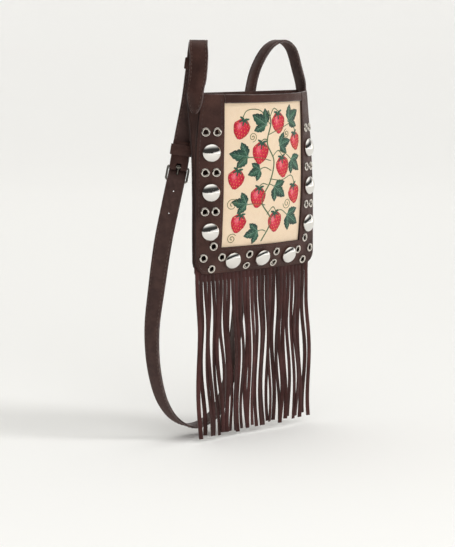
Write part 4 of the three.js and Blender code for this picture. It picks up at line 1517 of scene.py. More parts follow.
    def build(self) -> None:
        """Build the straps, their seams, the buckle and the keepers."""
        self.short_piece()
        self.long_piece()
        self.seams()
        self.buckle()
        half = self.thick / 2
        low = self.layer_offset - self.layer - half
        high = self.layer_offset + self.layer + half
        self.keeper("buckle_keeper", self.bar - self.keeper_above, low, high)
        self.keeper("crest_keeper", self.crest_keeper, -half, self.layer + half)

    def hide(self) -> list[Material]:
        """Return grain, flesh side and edge of the strap."""
        return [self.finishes.leather, self.finishes.flesh, self.finishes.edge]

    def short_piece(self) -> None:
        """Build the piece from the left tongue over the crest to the fold round the buckle's bar."""

        def tail(length: np.ndarray) -> np.ndarray:
            """Return the heights of the end that is folded under."""
            drop = 2 * self.fold + (self.layer - 2 * self.fold) * eased((self.bar - length) / self.fold_start)
            return self.main_height(length) - drop

        stations = np.concatenate(
            [
                self.stretch(0, self.tongue_length, 1.2, np.zeros_like),
                self.stretch(self.tongue_length, self.bar - self.layer_start, 2.5, np.zeros_like),
                self.stretch(self.bar - self.layer_start, self.bar, 2.0, self.main_height),
                self.round_bar(self.bar, self.fold, 90, -90, 14),
                self.stretch(self.bar - 2, self.bar - self.fold_tail, 2.0, tail),
            ]
        )
        bm = self.ribbon(stations, self.pointed(stations[:, 0]))
        piece = finished("strap_short_leather", bm, self.hide(), ["strap_short"])
        base = self.spots(self.bar + self.pitch / 2)
        turn = Matrix([base.across, base.along, base.grain]).transposed().to_4x4()
        size = Matrix.Diagonal((2 * self.slot_half * MM, self.slot_length * MM, 4 * self.over * MM, 1.0))
        slot = bmesh.new()
        where = Matrix.Translation(Vector(self.buckle_point(self.slot_shift, 0.0)) * MM)
        bmesh.ops.create_cube(slot, size=1.0, matrix=where @ turn @ size)
        drill(piece, slot)

    def long_piece(self) -> None:
        """Build the piece from its free end through the buckle and round the loop to the right tongue."""
        tip = self.crest_keeper - self.free_end
        lower = self.bar + self.pitch

        def over(length: np.ndarray) -> np.ndarray:
            """Return the heights where it lies on the short piece."""
            return self.main_height(length) + self.layer

        def under(length: np.ndarray) -> np.ndarray:
            """Return the heights where it leaves the buckle."""
            return -self.fold * (1 - eased((length - lower) / self.under_run))

        stations = np.concatenate(
            [
                self.stretch(tip, tip + self.tongue_length, 1.2, over),
                self.stretch(tip + self.tongue_length, self.bar, 2.5, over),
                self.round_bar(self.bar, self.over, 90, 90 - self.crossing, 8),
                self.round_bar(lower, self.fold, -90 - self.crossing, -90, 6),
                self.stretch(lower + 2.5, lower + self.under_run, 2.5, under),
                self.stretch(lower + self.under_run, self.total - self.tongue_length, 3.5, np.zeros_like),
                self.stretch(self.total - self.tongue_length, self.total, 1.2, np.zeros_like),
                [[self.total, 0.0]],
            ]
        )
        half = np.minimum(self.pointed(stations[:, 0] - tip), self.pointed(self.total - stations[:, 0]))
        bm = self.ribbon(stations, half)
        piece = finished("strap_long_leather", bm, self.hide(), ["strap_long"])
        middle = self.pitch / 2
        spot = self.buckle_point(middle, self.slope * middle)
        holes = [(spot, self.prong_way(), self.prong_hole, self.pitch)]
        for step in self.hole_steps:
            spot = self.spots(self.bar + self.hole_start + step * self.hole_pitch)
            holes.append((spot.place, spot.grain, self.hole, 6 * self.thick))
        drill(piece, round_cutters(holes, self.hole_sides))

    def seams(self) -> None:
        """Sew a row of stitches in the crease along both edges, on both sides of the strap."""
        stitches = Stitches()
        dye = linear(self.seam_colour)
        lower = self.bar + self.pitch
        last = self.total - self.seam_ends
        runs = (
            (self.seam_ends, self.bar - self.fold_start, self.main_height, self.pointed),
            (lower + self.under_run, last, np.zeros_like, lambda d: self.pointed(self.total - d)),
        )
        for start, end, height, half in runs:
            lengths = np.arange(start, end - self.seam_pitch, self.seam_pitch)
            for edge, face in product((-1, 1), (-1, 1)):
                rise = face * self.thick / 2 - (self.crease if face > 0 else 0.0)
                ends = []
                for length in (lengths, lengths + self.seam_stitch):
                    spots = self.spots(length)
                    offset = np.maximum(half(length) - self.seam_inset, 0.2) * edge
                    lift = height(length) + rise
                    ends.append(spots.place + spots.across * offset[:, None] + spots.grain * lift[:, None])
                for a, b, normal in zip(ends[0], ends[1], self.spots(lengths).grain * face):
                    stitches.add(a, b, normal, self.seam_size, dye)
        stitches.piece("strap_seams", self.finishes.seam, Slot.LEATHER)

    @staticmethod
    def rounded(half_x: float, half_y: float, radius: float, steps: int) -> np.ndarray:
        """Draw a rounded rectangle about its middle.

        Args:
            half_x: Its half-width.
            half_y: Its half-height.
            radius: The radius of its corners.
            steps: How many steps go round a corner.

        Returns:
            Its points.
        """
        turn = np.radians(np.linspace(0, 90, steps + 1))
        corners = []
        for quarter, (sign_x, sign_y) in enumerate(((1, 1), (-1, 1), (-1, -1), (1, -1))):
            angle = turn + quarter * math.pi / 2
            x = sign_x * (half_x - radius) + radius * np.cos(angle)
            y = sign_y * (half_y - radius) + radius * np.sin(angle)
            corners.append(np.stack([x, y], -1))
        return np.concatenate(corners)

    def buckle(self) -> None:
        """Build the buckle's frame of flattened wire and the prong that hangs on its upper bar."""
        base = self.spots(self.bar + self.pitch / 2)
        path = self.rounded(self.frame_half, self.pitch / 2, self.frame_corner, 6)
        middle = self.buckle_point(self.pitch / 2, 0.0)
        spots = middle + base.across * path[:, :1] + base.along * path[:, 1:]
        way = unit(np.roll(spots, -1, 0) - np.roll(spots, 1, 0))
        out = np.cross(way, base.grain)
        angle = np.linspace(0, 2 * math.pi, 16, endpoint=False)
        reach, rise = np.cos(angle), np.sin(angle)
        flat = self.wire * np.sign(reach) * np.abs(reach) ** 0.75
        tall = self.wire * np.sign(rise) * np.abs(rise) ** 0.75
        rings = spots[:, None] + out[:, None] * flat[None, :, None] + base.grain * tall[None, :, None]
        bm = bmesh.new()
        closed_tube(bm, rings, endless=True)
        bmesh.ops.recalc_face_normals(bm, faces=bm.faces)
        finished("buckle_frame_metal", bm, [self.finishes.gunmetal], ["buckle_frame"])

        bm = bmesh.new()
        half, bend = self.prong_half, 0.3
        upper = [(self.prong_bore, half), (self.prong_ring - bend, half), (self.prong_ring, half - bend)]
        profile = [(radius, -height) for radius, height in upper] + upper[::-1]
        spun(bm, profile, aim(self.buckle_point(0.0, 0.0), base.across), 24, closed=True)
        start = (self.prong_bore + self.prong_ring) / 2
        length = self.pitch + self.prong_over - start
        rod = [
            (0.0, 0.0),
            (self.prong * 0.9, 0.0),
            (self.prong, 2.0),
            (self.prong * 0.92, length - 2.0),
            (self.prong * 0.6, length - 0.4),
            (0.0, length),
        ]
        spun(bm, rod, aim(self.buckle_point(start, self.slope * start), self.prong_way()), 20, closed=False)
        finished("buckle_prong_metal", bm, [self.finishes.prong], ["buckle_prong"])

    def keeper(self, node: str, length: float, low: float, high: float) -> None:
        """Build a leather loop round the strap's layers.

        Args:
            node: The solid that it stands for.
            length: Its place along the strap.
            low: Height of the lowest face that it holds.
            high: Height of the highest face that it holds.
        """
        base = self.spots(length)
        half_x = self.width / 2 + self.keeper_clear
        half_y = (high - low) / 2 + self.keeper_clear
        inner = self.rounded(half_x, half_y, self.keeper_clear, 5)
        wall = self.keeper_wall
        outer = self.rounded(half_x + wall, half_y + wall, self.keeper_clear + wall, 5)
        lower = [(0, -0.96), (0.3, -1), (0.75, -1), (1, -0.94), (1, 0)]
        upper = [(1, 0.94), (0.75, 1), (0.3, 1), (0, 0.96), (0, 0)]
        section = np.array([*lower, *upper])
        flat = inner[:, None] + (outer - inner)[:, None] * section[None, :, :1]
        centre = base.place + base.grain * (low + high) / 2
        rings = (
            centre
            + base.across * flat[..., :1]
            + base.grain * flat[..., 1:]
            + base.along * (section[None, :, 1:] * self.keeper_height / 2)
        )
        bm = bmesh.new()
        closed_tube(bm, rings, endless=True)
        bmesh.ops.recalc_face_normals(bm, faces=bm.faces)
        finished(f"{node}_leather", bm, [self.finishes.leather], [node])


@dataclass
class Fringe:
    """The long fringe: strips that hang from a header along the bottom edge, each darkened or lightened at
    random by painted shade and light.
    """

    form: BagForm
    finishes: Finishes
    count: int = 30
    width: float = 4.3
    thick: float = 1.4
    steps: int = 34
    drift: float = 2.4
    sway: tuple[float, float] = (1.3, 2.3)
    bends: tuple[float, float] = (1.1, 1.5)
    phase_rate: float = 0.3
    phase_jitter: float = 1.0
    spread: float = 2.4
    curl: float = 0.45
    curl_rate: float = 5.0
    layers: float = 1.1
    turn: float = 24.0
    bunch: float = 2.6
    bunch_rate: float = 0.25
    bunch_phase: float = 0.5
    left: float = -77.0
    right: float = 71.5
    tip: float = -389.0
    tilt: float = 4.0
    lean: float = 3.0
    ragged: float = 2.5
    depth: float = 2.6
    header_thick: float = 2.4
    header_height: float = 7.0
    header_gap: float = 0.7
    welt: tuple[float, float] = (2.15, 3.1)
    welt_rise: float = 1.5
    # Range of the painted shade and light that darkens or lightens each strip.
    painted_shades: tuple[float, float] = (0.5, 1.2)
    cut_faces: tuple[int, int] = (0, 4)

    def bottom_edge(self, x: Values) -> np.ndarray:
        """Find the height of the body's bottom edge.

        Args:
            x: Places across.

        Returns:
            The height at each.
        """
        wall = self.form.front
        left = wall.column("left_x", wall.bottom) + wall.corner
        right = wall.column("right_x", wall.bottom) - wall.corner
        past = np.maximum(np.maximum(left - x, x - right), 0)
        return wall.bottom + wall.corner - np.sqrt(wall.corner**2 - past**2)

    def strip(self, i: int) -> np.ndarray:
        """Return the rings of one strip.

        Args:
            i: Its number from the left.

        Returns:
            Points by step and place on the section.
        """
        t = np.linspace(0, 1, self.steps + 1)
        share = (i + 0.5) / self.count
        x = self.left + (self.right - self.left) * share
        top = self.bottom_edge(x) - self.header_gap - self.header_height / 2
        tip = self.tip + self.tilt * share + self.ragged * (2 * scatter(i, 1) - 1)
        bunch = self.bunch * math.sin(i * self.bunch_rate + self.bunch_phase)
        drift = self.lean + self.drift * (scatter(i, 2) - 0.5) + bunch
        sway = self.sway[0] + (self.sway[1] - self.sway[0]) * scatter(i, 3)
        bends = self.bends[0] + (self.bends[1] - self.bends[0]) * scatter(i, 4)
        phase = i * self.phase_rate + self.phase_jitter * (2 * scatter(i, 5) - 1)
        wave = np.sin(2 * math.pi * bends * t + phase) - math.sin(phase)
        curl = self.curl * np.sin(self.curl_rate * t + phase)
        layer = self.layers * (2 * scatter(i, 8) - 1) * eased(t * 4)
        depth = layer + self.spread * t * (scatter(i, 6) - 0.5 + curl)
        edge = self.form.front.at(x, self.form.front.bottom)[1] + self.depth
        across = x + drift * t + sway * eased(t * 2.5) * wave
        place = np.stack([across, edge + depth, top + (tip - top) * t], -1)
        angle = np.radians(self.turn * (2 * scatter(i, 7) - 1)) * eased(2 * t)
        side = np.stack([np.cos(angle), np.sin(angle), np.zeros_like(t)], -1)
        face = np.stack([-np.sin(angle), np.cos(angle), np.zeros_like(t)], -1)
        half, deep, bend = self.width / 2, self.thick / 2, 0.4
        corner = np.array([(half, 0.5 * deep), (half - bend, deep)])
        upper = np.concatenate([corner, corner[::-1] * [-1, 1]])
        section = np.roll(np.concatenate([upper, -upper]), 1, axis=0)
        root = place[:1] + np.array([0, 0, self.header_height / 2 - 0.2])
        place = np.concatenate([root, place])
        side = np.concatenate([side[:1], side])
        face = np.concatenate([face[:1], face])
        return place[:, None] + side[:, None] * section[None, :, :1] + face[:, None] * section[None, :, 1:]

    def build(self) -> None:
        """Build the header and the strips as one piece."""
        bm = bmesh.new()
        painted_shade = bm.faces.layers.float.new(PAINTED_SHADE)
        x = np.linspace(self.left, self.right, 73)
        y = self.form.front.at(x, self.form.front.bottom)[:, 1] + self.depth
        top = self.bottom_edge(x) - self.header_gap
        near, far, height = self.welt[0] - self.depth, self.header_thick / 2, self.header_height
        rise, back = self.welt_rise, self.welt[1] - self.depth
        small, large = 0.2, 0.3
        section = [(near, rise - small), (near + small, rise), (back - small, rise), (back, rise - small)]
        section += [(back, 0.0), (far, -large), (far, -height + large), (far - large, -height)]
        section += [(near + large, -height), (near, -height + large)]
        rings = np.stack([np.stack([x, y + a, top + b], -1) for a, b in section], 1)
        closed_tube(bm, rings)
        for i in range(self.count):
            # Painted shade and light: each strip is darkened or lightened at random, standing in for strips
            # that lie in shadow or catch the light.
            shade = self.painted_shades[0] + (self.painted_shades[1] - self.painted_shades[0]) * scatter(i, 9)
            rings = self.strip(i)
            for k, face in enumerate(closed_tube(bm, rings)):
                face.material_index = int(k % rings.shape[1] in self.cut_faces)
                face[painted_shade] = shade
        for face in bm.faces:
            face[painted_shade] = face[painted_shade] or 1.0
        bmesh.ops.recalc_face_normals(bm, faces=bm.faces)
        materials = [self.finishes.fringe, self.finishes.edge]
        finished("fringe_strips", bm, materials, ["fringe"])


@dataclass
class Hardware:
    """Domed studs and eyelets on the front."""

    form: BagForm
    finishes: Finishes
    stud_radius: float = 9.2
    stud_height: float = 5.6
    stud_rim: float = 0.9
    stud_side_x: float = 64.2
    stud_side_z: tuple[float, ...] = (-106.0, -144.6, -183.1)
    stud_bottom_x: tuple[float, ...] = (-36.8, 0.0, 36.8)
    stud_bottom_z: float = -213.4
    eyelet_radius: float = 4.5
    eyelet_bore: float = 2.3
    eyelet_barrel: float = 2.85
    eyelet_height: float = 1.1
    pair_x: tuple[float, float] = (59.4, 69.4)
    pair_z: tuple[float, ...] = (-85.8, -125.1, -163.3)
    diamond: tuple[float, float] = (60.0, -209.0)
    diamond_half: tuple[float, float] = (10.0, 11.3)
    bottom_x: float = 17.8
    bottom_z: tuple[float, float] = (-208.2, -219.8)
    seat_gap: float = 0.2

    def on_front(self, x: float, z: float) -> tuple[np.ndarray, np.ndarray]:
        """Return a place on the front and the direction that it looks in."""
        return self.form.front.at(x, z), self.form.front.outward(x, z)

    def studs(self) -> list[tuple[np.ndarray, np.ndarray]]:
        """Set out the studs down the left side, along the bottom and up the right side.

        Returns:
            Place and direction of each.
        """
        spots = [(-self.stud_side_x, z) for z in self.stud_side_z]
        spots += [(x, self.stud_bottom_z) for x in self.stud_bottom_x]
        spots += [(self.stud_side_x, z) for z in reversed(self.stud_side_z)]
        return [self.on_front(*spot) for spot in spots]

    def eyelets(self) -> list[tuple[np.ndarray, np.ndarray]]:
        """Set out the eyelets: pairs between the studs, a diamond in each corner and pairs at the bottom.

        Returns:
            Place and direction of each.
        """
        (x, z), (half_x, half_z) = self.diamond, self.diamond_half
        spots = []
        for side in (-1, 1):
            spots += [(side * px, pz) for pz in self.pair_z for px in self.pair_x]
            for off_x, off_z in ((half_x, 0.0), (0.0, half_z), (-half_x, 0.0), (0.0, -half_z)):
                spots.append((side * (x + off_x), z + off_z))
            spots += [(side * self.bottom_x, bz) for bz in self.bottom_z]
        return [self.on_front(*spot) for spot in spots]

    def build(self) -> None:
        """Build the studs and the eyelets, each kind as one piece."""
        bm = bmesh.new()
        angle = np.linspace(0, math.pi / 2, 15)
        rise = self.stud_height - self.stud_rim
        dome = [(self.stud_radius * math.cos(a), self.stud_rim + rise * math.sin(a)) for a in angle[:-1]]
        wide = self.stud_radius
        foot = [(0.0, 0.0), (wide - 0.35, 0.0), (wide - 0.08, 0.12), (wide, 0.4)]
        profile = [*foot, *dome, (0.0, self.stud_height)]
        spots = self.studs()
        for place, way in spots:
            spun(bm, profile, aim(place + way * self.seat_gap, way), 56, closed=False)
        nodes = [f"stud_{k + 1}" for k in range(len(spots))]
        finished("domed_studs", bm, [self.finishes.nickel], nodes, crease=60)

        bm = bmesh.new()
        deep = -self.form.leather - self.seat_gap
        high, wide = self.eyelet_height, self.eyelet_radius
        bore, barrel = self.eyelet_bore, self.eyelet_barrel
        profile = [
            (bore, deep),
            (barrel, deep),
            (barrel, 0.0),
            (wide - 0.12, 0.0),
            (wide, 0.22 * high),
            (wide - 0.2, 0.66 * high),
            (wide - 0.62, 0.93 * high),
            (wide - 1.1, high),
            (barrel - 0.05, 0.86 * high),
            (bore + 0.12, 0.5 * high),
            (bore, 0.1 * high),
        ]
        spots = self.eyelets()
        for place, way in spots:
            spun(bm, profile, aim(place + way * self.seat_gap, way), 32, closed=True)
        nodes = [f"eyelet_{k + 1}" for k in range(len(spots))]
        finished("eyelets", bm, [self.finishes.eyelet], nodes, crease=60)


class Spray(NamedTuple):
    """A berry or leaf by its place on the cloth, its turn in degrees and its size."""

    x: float
    z: float
    turn: float
    size: float


class ClothStitch(NamedTuple):
    """A stitch on the cloth by its two ends, linear colour, share of the thread's width and lift."""

    ends: tuple[float, ...]
    dye: np.ndarray
    width: float
    raised: float


@dataclass
class Embroidery:
    """The cloth panel and a folk spray of strawberries on it, worked in stranded thread."""

    form: BagForm
    finishes: Finishes
    margin: float = 5.0
    thread: float = 0.62
    flattened: float = 1.3
    lift: float = 0.42
    berries: tuple[Spray, ...] = (
        Spray(-35, -84, -16, 18.0),
        Spray(11, -79, 8, 19.0),
        Spray(40, -98, 16, 16.5),
        Spray(-12, -108, -8, 19.5),
        Spray(-39, -133, -12, 17.5),
        Spray(19, -123, 10, 19.0),
        Spray(-13, -152, -6, 18.5),
        Spray(39, -151, 14, 18.0),
        Spray(-34, -177, -14, 17.0),
        Spray(12, -178, 7, 18.5),
    )
    leaves: tuple[Spray, ...] = (
        Spray(-6, -80, 150, 20.0),
        Spray(27, -77, 30, 20.0),
        Spray(-27, -111, 170, 20.0),
        Spray(14, -101, 15, 17.0),
        Spray(33, -116, -40, 18.0),
        Spray(-12, -124, 200, 15.0),
        Spray(8, -142, -35, 19.0),
        Spray(-26, -158, 170, 17.0),
        Spray(30, -172, -30, 20.0),
        Spray(-10, -186, 195, 17.0),
    )
    stems: tuple[tuple[tuple[float, float], ...], ...] = (
        ((-4, -197), (6, -176), (-8, -156), (2, -136), (6, -116), (-4, -98), (0, -78), (-4, -66)),
        ((-1, -80), (-14, -66), (-30, -66), (-34, -73)),
        ((-1, -72), (4, -64), (11, -68)),
        ((-2, -90), (16, -84), (34, -80), (40, -89)),
        ((-3, -96), (-8, -94), (-12, -97)),
        ((2, -116), (-16, -112), (-34, -114), (-38, -123)),
        ((4, -112), (12, -106), (18, -112)),
        ((-1, -140), (-8, -138), (-12, -141)),
        ((1, -134), (18, -136), (34, -132), (39, -141)),
        ((-3, -160), (-16, -158), (-30, -160), (-33, -167)),
        ((0, -170), (8, -162), (12, -167)),
        ((12, -106), (24, -110), (33, -116)),
        ((3, -126), (-6, -122), (-12, -124)),
        ((0, -139), (4, -140), (8, -142)),
        ((3, -176), (18, -166), (30, -172)),
        ((1, -187), (-4, -185), (-10, -186)),
    )
    tendrils: tuple[Spray, ...] = (
        Spray(-42, -158, 0, 6.5),
        Spray(28, -160, 180, 6.0),
        Spray(24, -90, 90, 5.0),
        Spray(-22, -92, 270, 5.0),
        Spray(-40, -192, 30, 5.5),
    )
    reds: tuple[str, ...] = ("#97102A", "#C01331", "#DE1F41", "#EC4460", "#F58496")
    greens: tuple[str, ...] = ("#17332A", "#21473A", "#2F5C48", "#4A7A5F", "#86A894")
    stem_green: str = "#5B6A3C"
    tendril: str = "#7C7A45"
    seeds: tuple[str, str] = ("#F0C46A", "#D89A46")

    def __post_init__(self) -> None:
        """Start a repeatable row of random numbers."""
        self.random = np.random.default_rng(SEED)

    def build(self) -> None:
        """Build the cloth and the stitches."""
        cloth = self.cloth_panel()
        works = {
            "embroidery_stems": self.work_stems(),
            "embroidery_leaves": self.work_leaves(),
            "embroidery_berries": self.work_berries(),
        }
        thread = self.finishes.thread
        pieces = [self.laid(batch).piece(name, thread, Slot.CLOTH) for name, batch in works.items()]

    def surface(self, x: Values, z: Values) -> np.ndarray:
        """Return points on the cloth's face."""
        return self.form.front.sunk(x, z, self.form.leather + self.form.gap)

    def laid(self, batch: list[ClothStitch]) -> Stitches:
        """Lay stitches on the cloth.

        Args:
            batch: The stitches, flat.

        Returns:
            The stitches in place.
        """
        flat = np.array([stitch.ends for stitch in batch])
        raised = np.array([[stitch.raised] for stitch in batch])
        normals = self.form.front.outward((flat[:, 0] + flat[:, 2]) / 2, (flat[:, 1] + flat[:, 3]) / 2)
        stitches = Stitches()
        starts = self.surface(flat[:, 0], flat[:, 1]) + normals * raised
        ends = self.surface(flat[:, 2], flat[:, 3]) + normals * raised
        for start, end, normal, stitch in zip(starts, ends, normals, batch):
            size = (self.thread * self.flattened * stitch.width, self.lift)
            stitches.add(start, end, normal, size, stitch.dye)
        return stitches

    def cloth_panel(self) -> Object:
        """Build the cloth behind the frame's window.

        Returns:
            The cloth.
        """
        form = self.form
        z = np.linspace(form.front.top - 1.0, form.window_bottom - self.margin, 61)[:, None]
        half = form.window_half(z) + self.margin
        x = half * np.linspace(-1, 1, 45)
        places = self.surface(x, np.broadcast_to(z, x.shape))
        bm = bmesh.new()
        faces = mapped_grid(bm, places)
        widths = np.linalg.norm(np.diff(places, axis=1), axis=2).sum(1)
        heights = np.linalg.norm(np.diff(places, axis=0), axis=2).sum(0)
        cut = bm.loops.layers.uv.new(CUT_MAP)
        down = run_length(places[:, x.shape[1] // 2])
        bm.verts.ensure_lookup_table()
        for face in faces:
            for loop in face.loops:
                row, col = divmod(loop.vert.index, x.shape[1])
                loop[cut].uv = (widths[row] * (col / (x.shape[1] - 1) - 0.5), -down[row])
        face_away(bm, form.inside)
        self.area = float(sum(face.calc_area() for face in bm.faces))
        self.flat = (float(widths.max()) * MM, float(heights.max()) * MM)
        piece = finished("panel_cloth", bm, [self.finishes.cloth], ["embroidered_panel"])
        solid = piece.modifiers.new("cloth", "SOLIDIFY")
        solid.thickness, solid.offset = form.cloth * MM, -1.0
        return piece

    def dye(self, palette: Sequence[str], level: float) -> np.ndarray:
        """Return a colour between the palette's, with a little chance in it.

        Args:
            palette: Colours from dark to light.
            level: From 0, the darkest, to 1, the lightest.

        Returns:
            The linear colour.
        """
        shades = np.array([linear(code) for code in palette])
        spot = np.clip(level + self.random.normal(0, 0.06), 0, 1) * (len(palette) - 1)
        low = min(int(spot), len(palette) - 2)
        return shades[low] + (shades[low + 1] - shades[low]) * (spot - low)

    def stitch(
        self,
        batch: list[ClothStitch],
        start: Sequence[float],
        end: Sequence[float],
        dye: np.ndarray,
        width: float = 1.0,
        raised: float = 0.0,
    ) -> None:
        """Lay one stitch on the cloth.

        Args:
            batch: Where it goes.
            start: Its start across and up.
            end: Its end across and up.
            dye: Its linear colour.
            width: Its width as a share of the thread's.
            raised: How far it lies over other stitches.
        """
        if math.dist(start, end) > 0.3:
            batch.append(ClothStitch((*start, *end), dye, width, raised + self.random.uniform(0, 0.05)))

    def line(
        self, batch: list[ClothStitch], points: np.ndarray, palette: Sequence[str], level: float, width: float
    ) -> None:
        """Work a line in stem stitch.

        Args:
            batch: Where the stitches go.
            points: The line.
            palette: Its colours.
            level: Its place in the palette.
            width: The stitches' width as a share of the thread's.
        """
        run = run_length(points)
        for start in np.arange(0, run[-1] - 1.0, 2.0):
            ends = np.minimum([start, start + 3.4], run[-1])
            spots = np.stack([np.interp(ends, run, points[:, k]) for k in range(2)], -1)
            self.stitch(batch, spots[0], spots[1], self.dye(palette, level), width, 0.08)

    @staticmethod
    def smooth_line(points: Sequence[tuple[float, float]]) -> np.ndarray:
        """Return a smooth line through points on the cloth."""
        flat = np.array([(x, z, 0.0) for x, z in points])
        return Strap.curve(flat, 14)[:, :2]

    def work_stems(self) -> list[ClothStitch]:
        """Work the stems and the curling tendrils.

        Returns:
            The stitches.
        """
        batch: list[ClothStitch] = []
        for k, points in enumerate(self.stems):
            line = self.smooth_line(points)
            for side in ((-0.35, 0.35) if k == 0 else (0.0,)):
                self.line(batch, line + [side, 0], (self.stem_green, self.greens[3]), 0.35, 1.1)
        for spray in self.tendrils:
            turn = np.linspace(0, 3.6 * math.pi, 60)
            radius = spray.size * (1 - 0.8 * turn / turn[-1])
            angle = turn + math.radians(spray.turn)
            curl = np.stack([spray.x + radius * np.cos(angle), spray.z + radius * np.sin(angle)], -1)
            self.line(batch, curl, (self.tendril, self.stem_green), 0.25, 0.75)
        return batch

    def leaflet(
        self, batch: list[ClothStitch], base: np.ndarray, turn: float, length: float, width: float
    ) -> None:
        """Work one toothed leaflet in slanting satin stitch from its rib.

        Args:
            batch: Where the stitches go.
            base: Where its stalk starts.
            turn: Its direction in degrees.
            length: Its length.
            width: Its width.
        """
        way = np.array([math.cos(math.radians(turn)), math.sin(math.radians(turn))])
        side_way = np.array([-way[1], way[0]])
        for side in (-1, 1):
            for s in np.arange(0.03, 0.97, 0.56 * self.thread / length):
                reach = min(1.0, s + 0.2 * (1 - s) + 0.04)
                tooth = 0.86 + 0.2 * abs(math.sin(math.pi * 4.5 * reach))
                margin = width / 2 * math.sin(math.pi * reach**0.85) ** 0.8 * tooth
                root = base + way * length * s
                rim = base + way * length * reach + side_way * side * margin
                light = 0.42 + 0.14 * side - 0.18 * s
                middle = root + (rim - root) * self.random.uniform(0.45, 0.65)
                self.stitch(batch, root, middle, self.dye(self.greens, light + 0.12))
                self.stitch(batch, root + (middle - root) * 0.85, rim, self.dye(self.greens, light - 0.1))
        rib = base + way * length * np.linspace(-0.12, 0.9, 12)[:, None]
        self.line(batch, rib, self.greens, 0.92, 0.7)
        for s in (0.25, 0.45, 0.65):
            for side in (-1, 1):
                root = base + way * length * s
                vein = base + way * length * (s + 0.16) + side_way * side * width * 0.26
                self.stitch(batch, root, vein, self.dye(self.greens, 0.85), 0.55, 0.22)

    def work_leaves(self) -> list[ClothStitch]:
        """Work the leaves, each of three leaflets.

        Returns:
            The stitches.
        """
        batch: list[ClothStitch] = []
        for spray in self.leaves:
            base = np.array([spray.x, spray.z], float)
            for spread, share in ((-52, 0.8), (52, 0.8), (0, 1.0)):
                self.leaflet(batch, base, spray.turn + spread, spray.size * share, spray.size * share * 0.6)
        return batch

    @staticmethod
    def shoulder(s: Values) -> np.ndarray:
        """Shape a berry.

        Args:
            s: Heights, from its top at 0 to its tip at 1.

        Returns:
            Its half-width at each, as a share.
        """
        s = np.asarray(s, float)
        upper = np.sqrt(np.maximum(1 - (1 - np.minimum(s / 0.34, 1)) ** 2, 0))
        lower = (1 - np.clip((s - 0.34) / 0.66, 0, 1) ** 2.2) ** 0.75
        return np.where(s < 0.34, upper, lower)

    def berry(self, batch: list[ClothStitch], spray: Spray) -> None:
        """Work one strawberry in long and short stitch, with its seeds and its green cap.

        Args:
            batch: Where the stitches go.
            spray: Its place, turn and width.
        """
        tilt = math.radians(spray.turn)
        down = np.array([math.sin(tilt), -math.cos(tilt)])
        over = np.array([math.cos(tilt), math.sin(tilt)])
        tall = spray.size * 1.14
        top = np.array([spray.x, spray.z]) - down * tall / 2

        def spot(c: float, s: float) -> np.ndarray:
            """Return a place on the berry by its shares across and down."""
            return top + down * tall * s + over * spray.size / 2 * c * float(self.shoulder(s))

        columns = int(spray.size / (0.62 * self.thread))
        for k in range(columns + 1):
            c = -1 + 2 * k / columns
            stops = [0.02]
            while stops[-1] < 0.97:
                stops.append(min(0.985, stops[-1] + self.random.uniform(0.14, 0.3)))
            for a, b in zip(stops, stops[1:]):
                s = (a + b) / 2
                glow = math.exp(-(((c + 0.34) / 0.34) ** 2) - ((s - 0.3) / 0.2) ** 2)
                level = 0.5 - 0.34 * abs(c) ** 3 - 0.28 * max(0.0, s - 0.55) + 0.5 * glow + 0.05 * (c < 0)
                self.stitch(batch, spot(c, a), spot(c, min(0.99, b + 0.05)), self.dye(self.reds, level))
        for row, s in enumerate((0.2, 0.36, 0.52, 0.68, 0.82)):
            for k in range(-2, 3):
                c = (k + 0.5 * (row % 2)) / 2.4
                if abs(c) < 0.86:
                    place = spot(c, s)
                    gold = self.dye(self.seeds, 0.3)
                    self.stitch(batch, place, place + down * 1.3, gold, 0.6, 0.3)
        for k in range(-2, 3):
            turn = spray.turn + 90 + 68 * k * 0.8 + 180
            way = np.array([math.cos(math.radians(turn)), math.sin(math.radians(turn))])
            side_way = np.array([-way[1], way[0]])
            length = spray.size * (0.36 - 0.03 * abs(k))
            for side in (-1, 0, 1):
                for s in (0.0, 0.25, 0.5):
                    root = top + way * length * s + down * 0.6
                    spread = side_way * side * (1 - s) * 1.1
                    rim = top + way * length * min(1.0, s + 0.5) + spread + down * 0.6
                    self.stitch(batch, root, rim, self.dye(self.greens, 0.45 + 0.12 * side), 1.0, 0.28)

    def work_berries(self) -> list[ClothStitch]:
        """Work the berries.

        Returns:
            The stitches.
        """
        batch: list[ClothStitch] = []
        for spray in self.berries:
            self.berry(batch, spray)
        return batch


